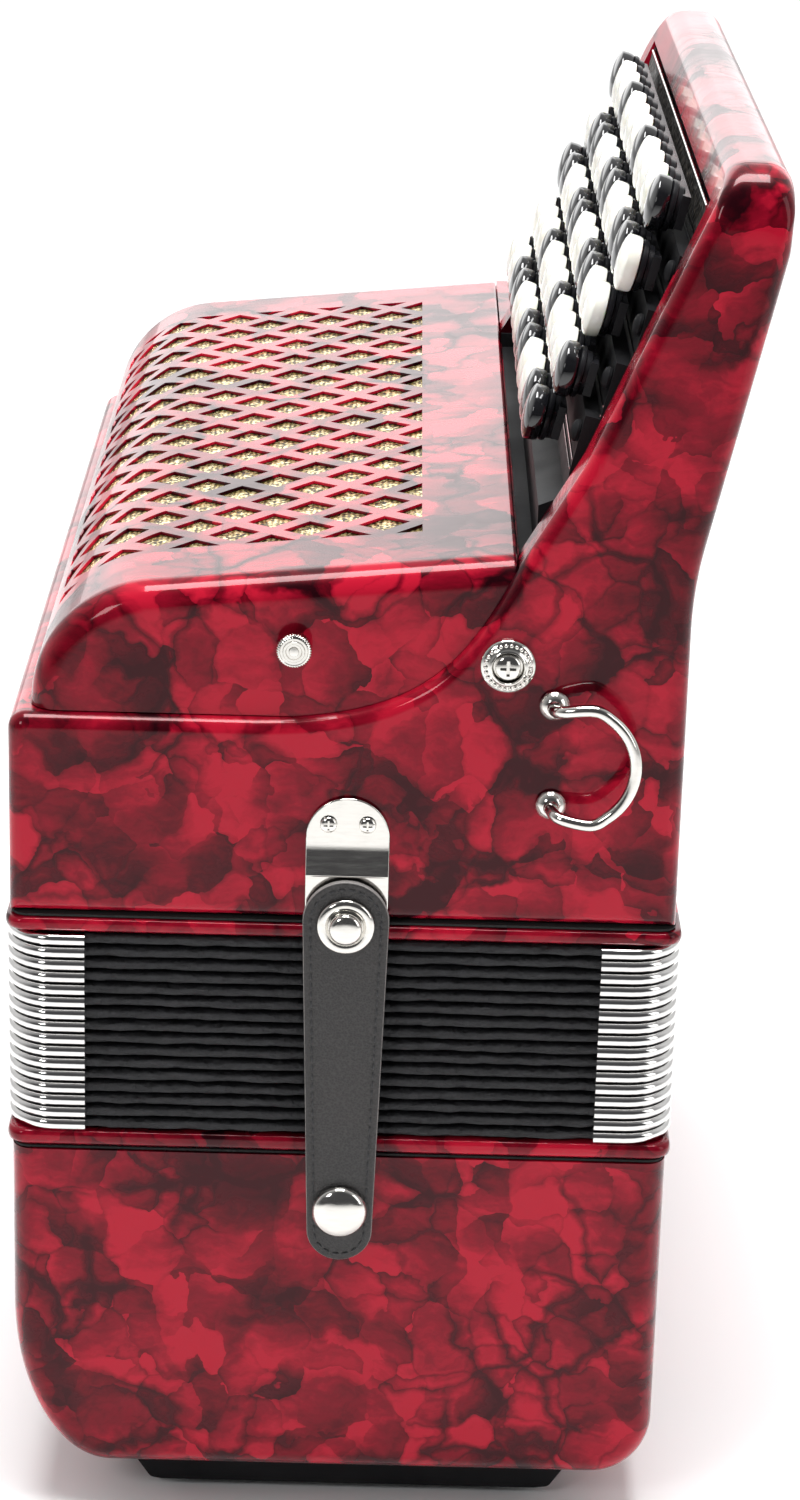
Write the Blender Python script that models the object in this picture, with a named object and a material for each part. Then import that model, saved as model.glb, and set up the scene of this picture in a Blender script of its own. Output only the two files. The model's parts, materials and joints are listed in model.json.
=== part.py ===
"""Compact five-row chromatic button accordion, standing on its bass end.

Metres, +Z up. +Z runs along the bellows from the bass end to the keyboard, +X points to the
player's side and Y is the long side of the cases. Outlines are written in the XZ plane, with X
measured from the middle of the cases. One root empty moves the whole to its own origin.
"""

import math

import bmesh
import bpy
from mathutils import Matrix, Vector

# ---- driving dimensions -------------------------------------------------------------------
GAP = 0.0003                  # clearance left between touching pieces
CASE_HALF_X = 0.0903          # half depth of both cases, front to player
CASE_HALF_Y = 0.1675          # half of the long side
CENTRE_X = -0.0088            # shift that centres the whole on the origin
WALL = 0.005

FOOT_HEIGHT = 0.0023
BASE_BOTTOM = 0.0026
BASS_BOTTOM = 0.0133
BASS_TOP = 0.1130
FRAME_LOW = (0.1142, 0.1189)  # bellows frame on the bass side, bottom and top
FRAME_HIGH = (0.1780, 0.1821)
TREBLE_BOTTOM = 0.1833
SHOULDER = 0.2399             # ledge that the grille cover stands on

BELLOWS_FOLDS = 16
BELLOWS_LOW = FRAME_LOW[1] + GAP
BELLOWS_HIGH = FRAME_HIGH[0] - GAP
BELLOWS_DEPTH = 0.008
CORNER_SKIN = 0.0016          # thickness of the plated corner stacks
CORNER_RADIUS = 0.012
CORNER_ARM = 0.0205           # how far a corner stack reaches along each side

DOME_LEFT = -0.0847
DOME_RIGHT = 0.0433
DOME_TOP = 0.2848             # height of the cover at its right-hand edge
DOME_SLOPE = 0.100            # fall of the cover's top per unit of X
DOME_RADIUS = 0.0346
DOME_INSET = 0.0033           # thickness of the lip in front of the cover's end
DOME_SKIN = 0.0011

LATTICE_RIGHT = 0.0183         # right-hand edge of the pierced field
LATTICE_Y = (-0.131, 0.137)
LATTICE_STEP = (0.0205, 0.0200)
LATTICE_HOLE = (0.0068, 0.0066)
LATTICE_LENGTH = 0.104        # along the skin, from that edge over the round front

KEYBOARD_FAR = 0.108          # far end of the keyboard block, shorter than the case
CHEEK = 0.015                 # thickness of the keyboard's end cheeks
CHEEK_FOOT = (0.0438, 0.2835) # where the cheek's sloping front edge begins
KNEE = (0.0600, 0.3113)       # slight bend of that edge
NOSE_FRONT = (0.0938, 0.3895)
NOSE_BACK = (0.1093, 0.3680)
NOSE_RADIUS = 0.008
WAIST = (0.0945, 0.3020)      # where the player's side starts to run into the straight wall
RECESS_TOP = (0.0876, 0.3787)

BUTTONS = 12
TREBLE_ROWS = 5
BUTTON_PITCH = 0.0173
BUTTON_RADIUS = 0.0075
BUTTON_TILT = math.radians(13.3)
FIRST_ROW = (0.0466, 0.3162)  # centre of the lowest row's caps in XZ
ROW_STEP = (0.00745, 0.0143)
ROW_START = -0.130
CAP_OUT = Vector((-math.cos(BUTTON_TILT), math.sin(BUTTON_TILT)))
CAP_UP = Vector((math.sin(BUTTON_TILT), math.cos(BUTTON_TILT)))
TREAD_DEPTH = 0.0118          # from the caps' middle plane to the bed behind them

BASS_ROWS = 4
BASS_BUTTON_PITCH = 0.015
BASS_ROW_PITCH = 0.007
BASS_FIRST_X = -0.0470
BASS_WINDOW = (BASS_FIRST_X - 0.0055, BASS_FIRST_X + (BASS_ROWS - 1) * BASS_ROW_PITCH + 0.0055)
BASS_WINDOW_HALF = 0.5 * (BUTTONS - 1) * BASS_BUTTON_PITCH + 0.007
AIR_BUTTON = (-0.0365, -0.1220)
AIR_HOLE_RADIUS = 0.0056
HAND_STRAP_X = (-0.0170, 0.0350)
CHANNEL = (-0.0195, 0.080)    # recess under the bass end that the hand reaches into
CHANNEL_HALF = 0.122
CHANNEL_TOP = 0.0088
BASE_HALF_Y = 0.1565
REED_BLOCK_X = (-0.034, 0.034)

STRAP_X = 0.0006
STRAP_Z = (0.0835, 0.1965)
STRAP_PIVOT_Z = 0.0990
SNAP_Z = 0.1840
STRAP_BACK = 0.1700           # distance of the strap's back face from the middle
STRAP_THICK = 0.0024


# ---- small helpers ------------------------------------------------------------------------
def clear_scene():
    for obj in list(bpy.data.objects):
        bpy.data.objects.remove(obj, do_unlink=True)


def make_material(name, colour, roughness, metallic=0.0):
    material = bpy.data.materials.new(name)
    material.use_nodes = True
    shader = material.node_tree.nodes["Principled BSDF"]
    shader.inputs["Base Color"].default_value = (*colour, 1.0)
    shader.inputs["Roughness"].default_value = roughness
    shader.inputs["Metallic"].default_value = metallic
    material.diffuse_color = (*colour, 1.0)
    return material


def mesh_object(name, bm, material=None):
    bmesh.ops.recalc_face_normals(bm, faces=bm.faces[:])
    mesh = bpy.data.meshes.new(name)
    bm.to_mesh(mesh)
    bm.free()
    obj = bpy.data.objects.new(name, mesh)
    bpy.context.scene.collection.objects.link(obj)
    if material:
        mesh.materials.append(material)
    return obj


def prism(outline, low, high):
    """Closed prism of an XZ outline, from y = low to y = high."""
    bm = bmesh.new()
    face = bm.faces.new([bm.verts.new((x, low, z)) for x, z in outline])
    moved = bmesh.ops.extrude_face_region(bm, geom=[face])
    tops = [item for item in moved["geom"] if isinstance(item, bmesh.types.BMVert)]
    bmesh.ops.translate(bm, verts=tops, vec=(0, high - low, 0))
    bmesh.ops.recalc_face_normals(bm, faces=bm.faces[:])
    return bm


def block(low, high):
    """Closed box between two corners."""
    outline = [(low[0], low[2]), (high[0], low[2]), (high[0], high[2]), (low[0], high[2])]
    return prism(outline, low[1], high[1])


def round_edges(bm, wanted, width, segments=2):
    """Bevels the edges for which wanted(edge) is true."""
    edges = [edge for edge in bm.edges if wanted(edge)]
    bmesh.ops.bevel(
        bm, geom=edges, offset=width, segments=segments, profile=0.5, affect="EDGES", clamp_overlap=True
    )
    return bm


def turned(profile, sides, centre, axis):
    """Closed turned solid. The profile holds (radius, distance along axis), first and last on the axis."""
    bm = bmesh.new()
    rings = []
    for radius, along in profile:
        if radius == 0:
            rings.append([bm.verts.new((0, 0, along))])
            continue
        turns = [2 * math.pi * k / sides for k in range(sides)]
        rings.append([bm.verts.new((radius * math.cos(a), radius * math.sin(a), along)) for a in turns])
    for lower, upper in zip(rings, rings[1:]):
        for k in range(sides):
            after = (k + 1) % sides
            corners = [lower[k % len(lower)], lower[after % len(lower)]]
            corners += [upper[after % len(upper)], upper[k % len(upper)]]
            unique = list(dict.fromkeys(corners))
            bm.faces.new(unique)
    turn = Vector((0, 0, 1)).rotation_difference(Vector(axis)).to_matrix().to_4x4()
    bmesh.ops.transform(bm, matrix=Matrix.Translation(centre) @ turn, verts=bm.verts[:])
    bmesh.ops.recalc_face_normals(bm, faces=bm.faces[:])
    return bm


def combine(obj, operation, *others):
    """Applies one Boolean after another and removes the operands."""
    for other in others:
        modifier = obj.modifiers.new(operation.lower(), "BOOLEAN")
        modifier.operation = operation
        modifier.solver = "EXACT"
        modifier.object = other
        graph = bpy.context.evaluated_depsgraph_get()
        mesh = bpy.data.meshes.new_from_object(obj.evaluated_get(graph))
        obj.modifiers.clear()
        obj.data = mesh
        bpy.data.objects.remove(other, do_unlink=True)
    bm = bmesh.new()
    bm.from_mesh(obj.data)
    bmesh.ops.remove_doubles(bm, verts=bm.verts[:], dist=1e-6)
    bmesh.ops.dissolve_degenerate(bm, dist=1e-6, edges=bm.edges[:])
    bm.to_mesh(obj.data)
    bm.free()
    return obj


def cut(obj, *shapes):
    return combine(obj, "DIFFERENCE", *[mesh_object("cutter", shape) for shape in shapes])


def add(obj, *shapes):
    return combine(obj, "UNION", *[mesh_object("addition", shape) for shape in shapes])


def smooth(obj, degrees=35):
    obj.data.shade_smooth()
    obj.data.set_sharp_from_angle(angle=math.radians(degrees))
    return obj


def arc(centre, radii, start, end, steps):
    """Points of an elliptic arc in XZ. Angles are in degrees."""
    points = []
    for k in range(steps + 1):
        angle = math.radians(start + (end - start) * k / steps)
        points.append((centre[0] + radii[0] * math.cos(angle), centre[1] + radii[1] * math.sin(angle)))
    return points


def rounded_loop(half_x, half_y, radius, steps):
    """Points of a rectangle with round corners, in XY, counter-clockwise."""
    points = []
    for quarter, (sx, sy) in enumerate(((1, 1), (-1, 1), (-1, -1), (1, -1))):
        for k in range(steps + 1):
            angle = math.pi / 2 * (quarter + k / steps)
            x = sx * (half_x - radius) + radius * math.cos(angle)
            y = sy * (half_y - radius) + radius * math.sin(angle)
            points.append((x, y))
    return points


def ring_stack(outer, inner):
    """Closed tube wall between two stacks of loops. Each stack is a list of loops of 3D points."""
    bm = bmesh.new()
    walls = [[[bm.verts.new(point) for point in loop] for loop in stack] for stack in (outer, inner)]
    around = len(outer[0])
    for wall in walls:
        for lower, upper in zip(wall, wall[1:]):
            for k in range(around):
                after = (k + 1) % around
                bm.faces.new([lower[k], lower[after], upper[after], upper[k]])
    for level in (0, -1):
        for k in range(around):
            after = (k + 1) % around
            first, second = walls[0][level], walls[1][level]
            bm.faces.new([first[k], first[after], second[after], second[k]])
    return bm


def frame_ring(half_x, half_y, inner_x, inner_y, low, high, radius=0.004):
    """A rectangular ring with round outer corners."""
    levels = (low, high)
    outer = [[(x, y, z) for x, y in rounded_loop(half_x, half_y, radius, 3)] for z in levels]
    inner = [[(x, y, z) for x, y in rounded_loop(inner_x, inner_y, 0.003, 3)] for z in levels]
    return ring_stack(outer, inner)


def tube(path, radius, sides, side_hint):
    """Closed round tube along a smooth path of 3D points."""
    bm = bmesh.new()
    rings = []
    normal = Vector(side_hint)
    for k, point in enumerate(path):
        before = path[max(k - 1, 0)]
        after = path[min(k + 1, len(path) - 1)]
        tangent = (after - before).normalized()
        normal = (normal - tangent * normal.dot(tangent)).normalized()
        other = tangent.cross(normal)
        ring = []
        for side in range(sides):
            angle = 2 * math.pi * side / sides
            ring.append(bm.verts.new(point + radius * (math.cos(angle) * normal + math.sin(angle) * other)))
        rings.append(ring)
    for lower, upper in zip(rings, rings[1:]):
        for side in range(sides):
            after = (side + 1) % sides
            bm.faces.new([lower[side], lower[after], upper[after], upper[side]])
    bm.faces.new(rings[0])
    bm.faces.new(rings[-1])
    bmesh.ops.recalc_face_normals(bm, faces=bm.faces[:])
    return bm


def spline(points, steps):
    """Catmull-Rom curve through the points."""
    path = []
    ends = [points[0], *points, points[-1]]
    for a, b, c, d in zip(ends, ends[1:], ends[2:], ends[3:]):
        for k in range(steps):
            t = k / steps
            path.append(0.5 * (2 * b + (c - a) * t + (2 * a - 5 * b + 4 * c - d) * t**2
                               + (3 * b - a - 3 * c + d) * t**3))
    path.append(points[-1])
    return path


# ---- outlines in XZ -----------------------------------------------------------------------
def bass_outline(inset=0.0, top=BASS_TOP):
    """Section of the bass case: a wide round front edge and a tighter one at the player's side."""
    half = CASE_HALF_X - inset
    bottom = BASS_BOTTOM + inset
    front = (0.027 - inset, 0.050 - inset)
    player = (0.0170 - inset, 0.0180 - inset)
    points = [(-half, top)]
    points += arc((-half + front[0], bottom + front[1]), front, 180, 270, 9)
    points += arc((half - player[0], bottom + player[1]), player, 270, 360, 6)
    points.append((half, top))
    return points


def cheek_front(z):
    """X of the cheek's sloping front edge at height z."""
    lower, upper = (CHEEK_FOOT, KNEE) if z < KNEE[1] else (KNEE, NOSE_FRONT)
    share = (z - lower[1]) / (upper[1] - lower[1])
    return lower[0] + share * (upper[0] - lower[0])


def back_profile():
    """The player's side of the treble end, from the nose down to the straight case wall."""
    centre = (NOSE_BACK[0] + 0.0005 - NOSE_RADIUS, NOSE_FRONT[1] - NOSE_RADIUS)
    points = arc(centre, (NOSE_RADIUS, NOSE_RADIUS), 90, 0, 4)
    points += [NOSE_BACK, (NOSE_BACK[0] - 0.0030, NOSE_BACK[1] - 0.0150), WAIST]
    points += [(WAIST[0] - 0.0032, WAIST[1] - 0.0140), (WAIST[0] - 0.0047, WAIST[1] - 0.0250)]
    points.append((CASE_HALF_X - 0.0010, WAIST[1] - 0.0400))
    return points


def ogee():
    """The curve of the lip, from the shoulder up to the foot of the cheek's front edge."""
    start = Vector((-0.0300, SHOULDER))
    end = Vector(CHEEK_FOOT)
    pull_start = start + Vector((0.052, -0.001))
    pull_end = end - Vector((0.0125, 0.0245))
    points = []
    steps = 9
    for k in range(steps + 1):
        t = k / steps
        point = (1 - t)**3 * start + 3 * (1 - t)**2 * t * pull_start
        point += 3 * (1 - t) * t**2 * pull_end + t**3 * end
        points.append((point.x, point.y))
    return points


def near_outline():
    """The whole near end of the treble case, with its lip and cheek."""
    points = [(-CASE_HALF_X, TREBLE_BOTTOM), (-CASE_HALF_X, SHOULDER)]
    points += ogee()
    points += [KNEE, NOSE_FRONT]
    points += back_profile()
    points += [(CASE_HALF_X - 0.0008, TREBLE_BOTTOM)]
    return points


def keyboard_outline():
    """The keyboard block behind the near cheek."""
    points = [(CHEEK_FOOT[0], SHOULDER - 0.010), CHEEK_FOOT, KNEE, NOSE_FRONT]
    points += back_profile()
    points += [(CASE_HALF_X - 0.0010, SHOULDER - 0.010)]
    return points


def dome_top(x):
    return DOME_TOP - DOME_SLOPE * (DOME_RIGHT - x)


def dome_outline(inset=0.0):
    """Section of the grille cover: an almost flat top and a quarter-round front."""
    centre = (DOME_LEFT + DOME_RADIUS, SHOULDER + GAP + 0.0005)
    radius = DOME_RADIUS - inset
    points = [(DOME_RIGHT - inset, SHOULDER + GAP), (DOME_RIGHT - inset, dome_top(DOME_RIGHT) - inset)]
    points += arc(centre, (radius, radius), 95, 180, 9)
    points.append((DOME_LEFT + inset, SHOULDER + GAP))
    return points


# ---- bass end -----------------------------------------------------------------------------
def air_hole_cutter():
    profile = [(0, 0.0), (AIR_HOLE_RADIUS, 0.0), (AIR_HOLE_RADIUS, 0.04), (0, 0.04)]
    return turned(profile, 12, (*AIR_BUTTON, 0.0), (0, 0, 1))


def bass_case(material):
    tall = BASS_TOP + 0.012
    near, far = -CASE_HALF_Y, CASE_HALF_Y
    shell = prism(bass_outline(top=tall), near, far)
    on_end = lambda edge: all(abs(abs(v.co.y) - CASE_HALF_Y) < 1e-6 for v in edge.verts)
    flat_ends = lambda edge: (on_end(edge) and edge.calc_length() < 0.3
                              and edge.verts[0].co.y == edge.verts[1].co.y)
    below_top = lambda edge: flat_ends(edge) and not all(v.co.z > tall - 1e-6 for v in edge.verts)
    round_edges(shell, below_top, 0.007, 3)
    obj = mesh_object("bass_case", shell, material)
    top_cut = block((-0.2, -0.3, BASS_TOP), (0.2, 0.3, tall + 0.01))
    hollow = prism(bass_outline(WALL, tall), near + WALL, far - WALL)
    window = block((BASS_WINDOW[0], -BASS_WINDOW_HALF, 0.0), (BASS_WINDOW[1], BASS_WINDOW_HALF, 0.03))
    air_hole = air_hole_cutter()
    cut(obj, top_cut, hollow, window, air_hole)
    return obj


def bass_base_plate(material):
    """Black moulded base with sloping ends, a window for the buttons and an open channel for the hand."""
    top = BASS_BOTTOM - GAP
    outline = [(-0.0590, top), (-0.0575, top - 0.0015), (-0.0535, BASE_BOTTOM + 0.002), (-0.0515, BASE_BOTTOM)]
    outline += [(0.0610, BASE_BOTTOM), (0.0630, BASE_BOTTOM + 0.002), (0.0675, top - 0.0015), (0.0690, top)]
    obj = mesh_object("bass_base_plate", prism(outline, -BASE_HALF_Y, BASE_HALF_Y), material)
    window = block((BASS_WINDOW[0], -BASS_WINDOW_HALF, 0.0), (BASS_WINDOW[1], BASS_WINDOW_HALF, 0.03))
    channel = block((CHANNEL[0], -CHANNEL_HALF, 0.0), (CHANNEL[1], CHANNEL_HALF, CHANNEL_TOP))
    air_hole = air_hole_cutter()
    cut(obj, window, channel, air_hole)
    return obj


def foot(name, x, y, material):
    profile = [(0, 0.0), (0.0030, 0.0), (0.0042, 0.0007), (0.0046, FOOT_HEIGHT), (0, FOOT_HEIGHT)]
    return smooth(mesh_object(name, turned(profile, 12, (x, y, 0), (0, 0, 1)), material))


def bass_button_board(material):
    """Board just inside the bottom wall that guides the bass buttons, with one slot per row."""
    low = BASS_BOTTOM + WALL + GAP
    board = mesh_object(
        "bass_button_board",
        block((BASS_WINDOW[0] - 0.0012, -0.105, low), (BASS_WINDOW[1] + 0.008, 0.105, low + 0.003)),
        material,
    )
    for row in range(BASS_ROWS):
        x = BASS_FIRST_X + row * BASS_ROW_PITCH
        cut(board, block((x - 0.0026, -0.088, low - 0.01), (x + 0.0026, 0.088, low + 0.01)))
    return board


def bass_button_row(index, material):
    """Twelve small round buttons on a rail that sits above the board."""
    x = BASS_FIRST_X + index * BASS_ROW_PITCH
    rail_low = BASS_BOTTOM + WALL + 0.003 + 4 * GAP
    bm = block((x - 0.0022, -0.0865, rail_low), (x + 0.0022, 0.0865, rail_low + 0.002))
    obj = mesh_object("bass_button_row_%d" % (index + 1), bm, material)
    stems = []
    for k in range(BUTTONS):
        y = (k - 0.5 * (BUTTONS - 1)) * BASS_BUTTON_PITCH
        tip = 0.0042
        profile = [(0, tip), (0.0024, tip + 0.0009), (0.0024, rail_low + 0.001), (0, rail_low + 0.001)]
        stems.append(turned(profile, 8, (x, y, 0), (0, 0, 1)))
    joined = bmesh.new()
    for stem in stems:
        scratch = bpy.data.meshes.new("stem")
        stem.to_mesh(scratch)
        joined.from_mesh(scratch)
        stem.free()
        bpy.data.meshes.remove(scratch)
    return add(obj, joined)


def air_button(material):
    profile = [(0, 0.0036), (0.0040, 0.0036), (0.0050, 0.0048), (0.0050, 0.0100), (0.0050, 0.026), (0, 0.026)]
    return smooth(mesh_object("air_button", turned(profile, 16, (*AIR_BUTTON, 0), (0, 0, 1)), material))


def hand_strap(material):
    """Leather strap along the base, lying flat as it does when the instrument stands."""
    bm = block((HAND_STRAP_X[0], -0.1500, 0.0004), (HAND_STRAP_X[1], 0.1500, BASE_BOTTOM - GAP))
    upright = lambda edge: abs(edge.verts[0].co.z - edge.verts[1].co.z) > 1e-4
    return mesh_object("hand_strap", round_edges(bm, upright, 0.012, 4), material)


def soundboard(name, low, high, material):
    """Reed pan across the inside of a case, with an air slot under each reed block."""
    half_x = CASE_HALF_X - WALL - 4 * GAP
    half_y = CASE_HALF_Y - WALL - 4 * GAP
    obj = mesh_object(name, block((-half_x, -half_y, low), (half_x, half_y, high)), material)
    for x in REED_BLOCK_X:
        cut(obj, block((x - 0.005, -0.120, low - 0.01), (x + 0.005, 0.120, high + 0.01)))
    return obj


def reed_block(name, x, root, tip, material):
    """Tapered wooden reed block standing on its soundboard."""
    outline = [(x - 0.013, root), (x + 0.013, root), (x + 0.008, tip), (x - 0.008, tip)]
    obj = mesh_object(name, prism(outline, -0.132, 0.132), material)
    hollow = sorted((root - math.copysign(0.01, tip - root), root + math.copysign(0.020, tip - root)))
    cut(obj, block((x - 0.0035, -0.118, hollow[0]), (x + 0.0035, 0.118, hollow[1])))
    return obj


# ---- bellows ------------------------------------------------------------------------------
def bellows(material):
    """Hollow folded tube of sixteen pleats."""
    outer = []
    inner = []
    wall = 0.0035
    for level in range(2 * BELLOWS_FOLDS + 1):
        z = BELLOWS_LOW + (BELLOWS_HIGH - BELLOWS_LOW) * level / (2 * BELLOWS_FOLDS)
        inset = 0.0 if level % 2 else BELLOWS_DEPTH
        for stack, extra in ((outer, 0.0), (inner, wall)):
            away = inset + extra
            loop = rounded_loop(CASE_HALF_X - away, CASE_HALF_Y - away, CORNER_RADIUS - away, 1)
            stack.append([(x, y, z) for x, y in loop])
    return mesh_object("bellows", ring_stack(outer, inner), material)


def corner_stack(name, side_x, side_y, material):
    """The stack of plated corners on one edge of the bellows, as one thin angle."""
    def corner_points(away):
        half_x = CASE_HALF_X + away
        half_y = CASE_HALF_Y + away
        radius = CORNER_RADIUS + away
        points = [(half_x, CASE_HALF_Y - CORNER_ARM)]
        for k in range(5):
            angle = math.pi / 2 * k / 4
            x = half_x - radius + radius * math.cos(angle)
            y = half_y - radius + radius * math.sin(angle)
            points.append((x, y))
        points.append((CASE_HALF_X - CORNER_ARM, half_y))
        return points

    section = corner_points(GAP + CORNER_SKIN) + corner_points(GAP)[::-1]
    bm = bmesh.new()
    face = bm.faces.new([bm.verts.new((side_x * x, side_y * y, BELLOWS_LOW)) for x, y in section])
    moved = bmesh.ops.extrude_face_region(bm, geom=[face])
    tops = [item for item in moved["geom"] if isinstance(item, bmesh.types.BMVert)]
    bmesh.ops.translate(bm, verts=tops, vec=(0, 0, BELLOWS_HIGH - BELLOWS_LOW))
    return smooth(mesh_object(name, bm, material))


# ---- treble end ---------------------------------------------------------------------------
def treble_case(material):
    """Treble case, lip, cheeks, back and top rim of the keyboard in one shell."""
    near, far = -CASE_HALF_Y, CASE_HALF_Y
    front_round = lambda edge: all(
        abs(v.co.y - near) < 1e-6 and v.co.z > TREBLE_BOTTOM + 1e-6 for v in edge.verts)
    near_end = round_edges(prism(near_outline(), near, near + CHEEK), front_round, 0.0022, 2)
    obj = mesh_object("treble_case", near_end, material)

    right = CASE_HALF_X - 0.0008
    lower = block((-CASE_HALF_X, near + 0.008, TREBLE_BOTTOM), (right, far, SHOULDER))
    far_round = lambda edge: all(abs(v.co.y - far) < 1e-6 for v in edge.verts) and not all(
        v.co.z < TREBLE_BOTTOM + 1e-6 for v in edge.verts)
    round_edges(lower, far_round, 0.0022, 2)
    keyboard = prism(keyboard_outline(), near + 0.008, KEYBOARD_FAR)
    far_lip = [(-0.0300, SHOULDER - 0.010), *ogee(), (right - 0.0015, CHEEK_FOOT[1])]
    far_lip += [(right, SHOULDER - 0.010)]
    far_end = prism(far_lip, far - CHEEK, far - 0.0005)
    deck_outline = [(CHEEK_FOOT[0], SHOULDER - 0.010), CHEEK_FOOT, (right - 0.0015, CHEEK_FOOT[1])]
    deck_outline += [(right, SHOULDER - 0.010)]
    deck = prism(deck_outline, KEYBOARD_FAR - 0.004, far - 0.004)
    add(obj, keyboard, lower, far_end, deck)

    seat = prism(dome_seat_outline(), near + DOME_INSET, far - DOME_INSET)
    hollow = block((-CASE_HALF_X + WALL, near + WALL, TREBLE_BOTTOM - 0.01),
                   (right - WALL, far - WALL, SHOULDER - 0.004))
    sound_opening = block((-0.070, -0.148, SHOULDER - 0.02), (0.036, 0.148, SHOULDER + 0.02))
    pocket = prism(pocket_outline(), near + CHEEK, KEYBOARD_FAR - CHEEK)
    deck_inner = [(CHEEK_FOOT[0] + 0.004, SHOULDER - 0.012), (CHEEK_FOOT[0] + 0.004, CHEEK_FOOT[1] - 0.004)]
    deck_inner += [(right - WALL, CHEEK_FOOT[1] - 0.004), (right - WALL, SHOULDER - 0.012)]
    deck_hollow = prism(deck_inner, KEYBOARD_FAR + 0.001, far - WALL)
    cut(obj, seat, hollow, sound_opening, pocket, deck_hollow, *corner_trims())
    return obj


def dome_seat_outline():
    """The grille cover's section grown by the clearance, open above."""
    right = DOME_RIGHT + GAP
    points = [(-0.120, SHOULDER), (right, SHOULDER), (right, DOME_TOP + 0.05), (-0.120, DOME_TOP + 0.05)]
    return points


def pocket_outline():
    """Keyboard recess: open at the sloping front, following the back with an even wall."""
    points = [(CHEEK_FOOT[0] + 0.0005, SHOULDER - 0.012), (CHEEK_FOOT[0] + 0.0005, CHEEK_FOOT[1] - 0.004)]
    points += [(cheek_front(0.290) - 0.03, 0.290), (RECESS_TOP[0] - 0.03, RECESS_TOP[1] + 0.0131)]
    points += [RECESS_TOP, (NOSE_BACK[0] - 0.0065, RECESS_TOP[1]), (NOSE_BACK[0] - 0.0065, 0.3650)]
    points += [(WAIST[0] - WALL, WAIST[1]), (WAIST[0] - WALL - 0.0050, 0.270)]
    points += [(CASE_HALF_X - 0.0010 - WALL, 0.252)]
    points += [(CASE_HALF_X - 0.0010 - WALL, SHOULDER - 0.012)]
    return points


def corner_trims():
    """Cutters that round the keyboard's top corners, seen from the player's side."""
    shapes = []
    for edge, inwards, radius in ((KEYBOARD_FAR, -1, 0.022), (-CASE_HALF_Y, 1, 0.009)):
        centre = (edge + inwards * radius, NOSE_FRONT[1] - radius)
        points = [(edge - inwards * 0.01, NOSE_FRONT[1] + 0.01), (edge - inwards * 0.01, centre[1])]
        for k in range(7):
            angle = math.pi / 2 * k / 6
            y = centre[0] - inwards * radius * math.cos(angle)
            points.append((y, centre[1] + radius * math.sin(angle)))
        points.append((centre[0], NOSE_FRONT[1] + 0.01))
        bm = bmesh.new()
        face = bm.faces.new([bm.verts.new((0.03, y, z)) for y, z in points])
        moved = bmesh.ops.extrude_face_region(bm, geom=[face])
        ends = [item for item in moved["geom"] if isinstance(item, bmesh.types.BMVert)]
        bmesh.ops.translate(bm, verts=ends, vec=(0.1, 0, 0))
        bmesh.ops.recalc_face_normals(bm, faces=bm.faces[:])
        shapes.append(bm)
    return shapes


def surface_point(along):
    """Point and outward normal on the cover, at a distance along its skin from the lattice's right edge."""
    slope = Vector((1, DOME_SLOPE)).normalized()
    tangent_x = DOME_LEFT + DOME_RADIUS - DOME_RADIUS * DOME_SLOPE
    straight = (LATTICE_RIGHT - tangent_x) / slope.x
    if along <= straight:
        x = LATTICE_RIGHT - along * slope.x
        return Vector((x, dome_top(x))), Vector((-slope.y, slope.x))
    turn = (along - straight) / DOME_RADIUS + math.atan(DOME_SLOPE)
    normal = Vector((-math.sin(turn), math.cos(turn)))
    centre = Vector((DOME_LEFT + DOME_RADIUS, SHOULDER + GAP + 0.0005))
    return centre + DOME_RADIUS * normal, normal


def clip(polygon, axis, limit, keep_below):
    """Part of a convex polygon on one side of a line."""
    sign = 1 if keep_below else -1
    kept = []
    for k, here in enumerate(polygon):
        after = polygon[(k + 1) % len(polygon)]
        inside = sign * (limit - here[axis]) >= 0
        inside_after = sign * (limit - after[axis]) >= 0
        if inside:
            kept.append(here)
        if inside != inside_after:
            share = (limit - here[axis]) / (after[axis] - here[axis])
            kept.append(tuple(here[i] + share * (after[i] - here[i]) for i in (0, 1)))
    return kept


def lattice_cutters():
    """One mesh of diamond prisms, each at right angles to the skin."""
    bm = bmesh.new()
    columns = round(LATTICE_LENGTH / LATTICE_STEP[0] * 2) + 1
    rows = round((LATTICE_Y[1] - LATTICE_Y[0]) / LATTICE_STEP[1] * 2) + 1
    for column in range(columns):
        for row in range(rows):
            if (column + row) % 2:
                continue
            along = column * LATTICE_STEP[0] / 2
            y = LATTICE_Y[0] + row * LATTICE_STEP[1] / 2
            hole = [(along - LATTICE_HOLE[0], y), (along, y - LATTICE_HOLE[1])]
            hole += [(along + LATTICE_HOLE[0], y), (along, y + LATTICE_HOLE[1])]
            hole = clip(hole, 0, 0.0, False)
            hole = clip(hole, 0, LATTICE_LENGTH, True)
            hole = clip(hole, 1, LATTICE_Y[0], False)
            hole = clip(hole, 1, LATTICE_Y[1], True)
            if len(hole) < 3:
                continue
            middle, normal = surface_point(sum(p[0] for p in hole) / len(hole))
            middle_along = sum(p[0] for p in hole) / len(hole)
            tangent = Vector((-normal.y, normal.x))
            rings = []
            for depth in (-0.006, 0.006):
                ring = []
                for s, hole_y in hole:
                    flat = middle + tangent * (s - middle_along) + normal * depth
                    ring.append(bm.verts.new((flat.x, hole_y, flat.y)))
                rings.append(ring)
            bm.faces.new(rings[0])
            bm.faces.new(rings[1])
            for k in range(len(hole)):
                after = (k + 1) % len(hole)
                bm.faces.new([rings[0][k], rings[0][after], rings[1][after], rings[1][k]])
    return bm


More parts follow.
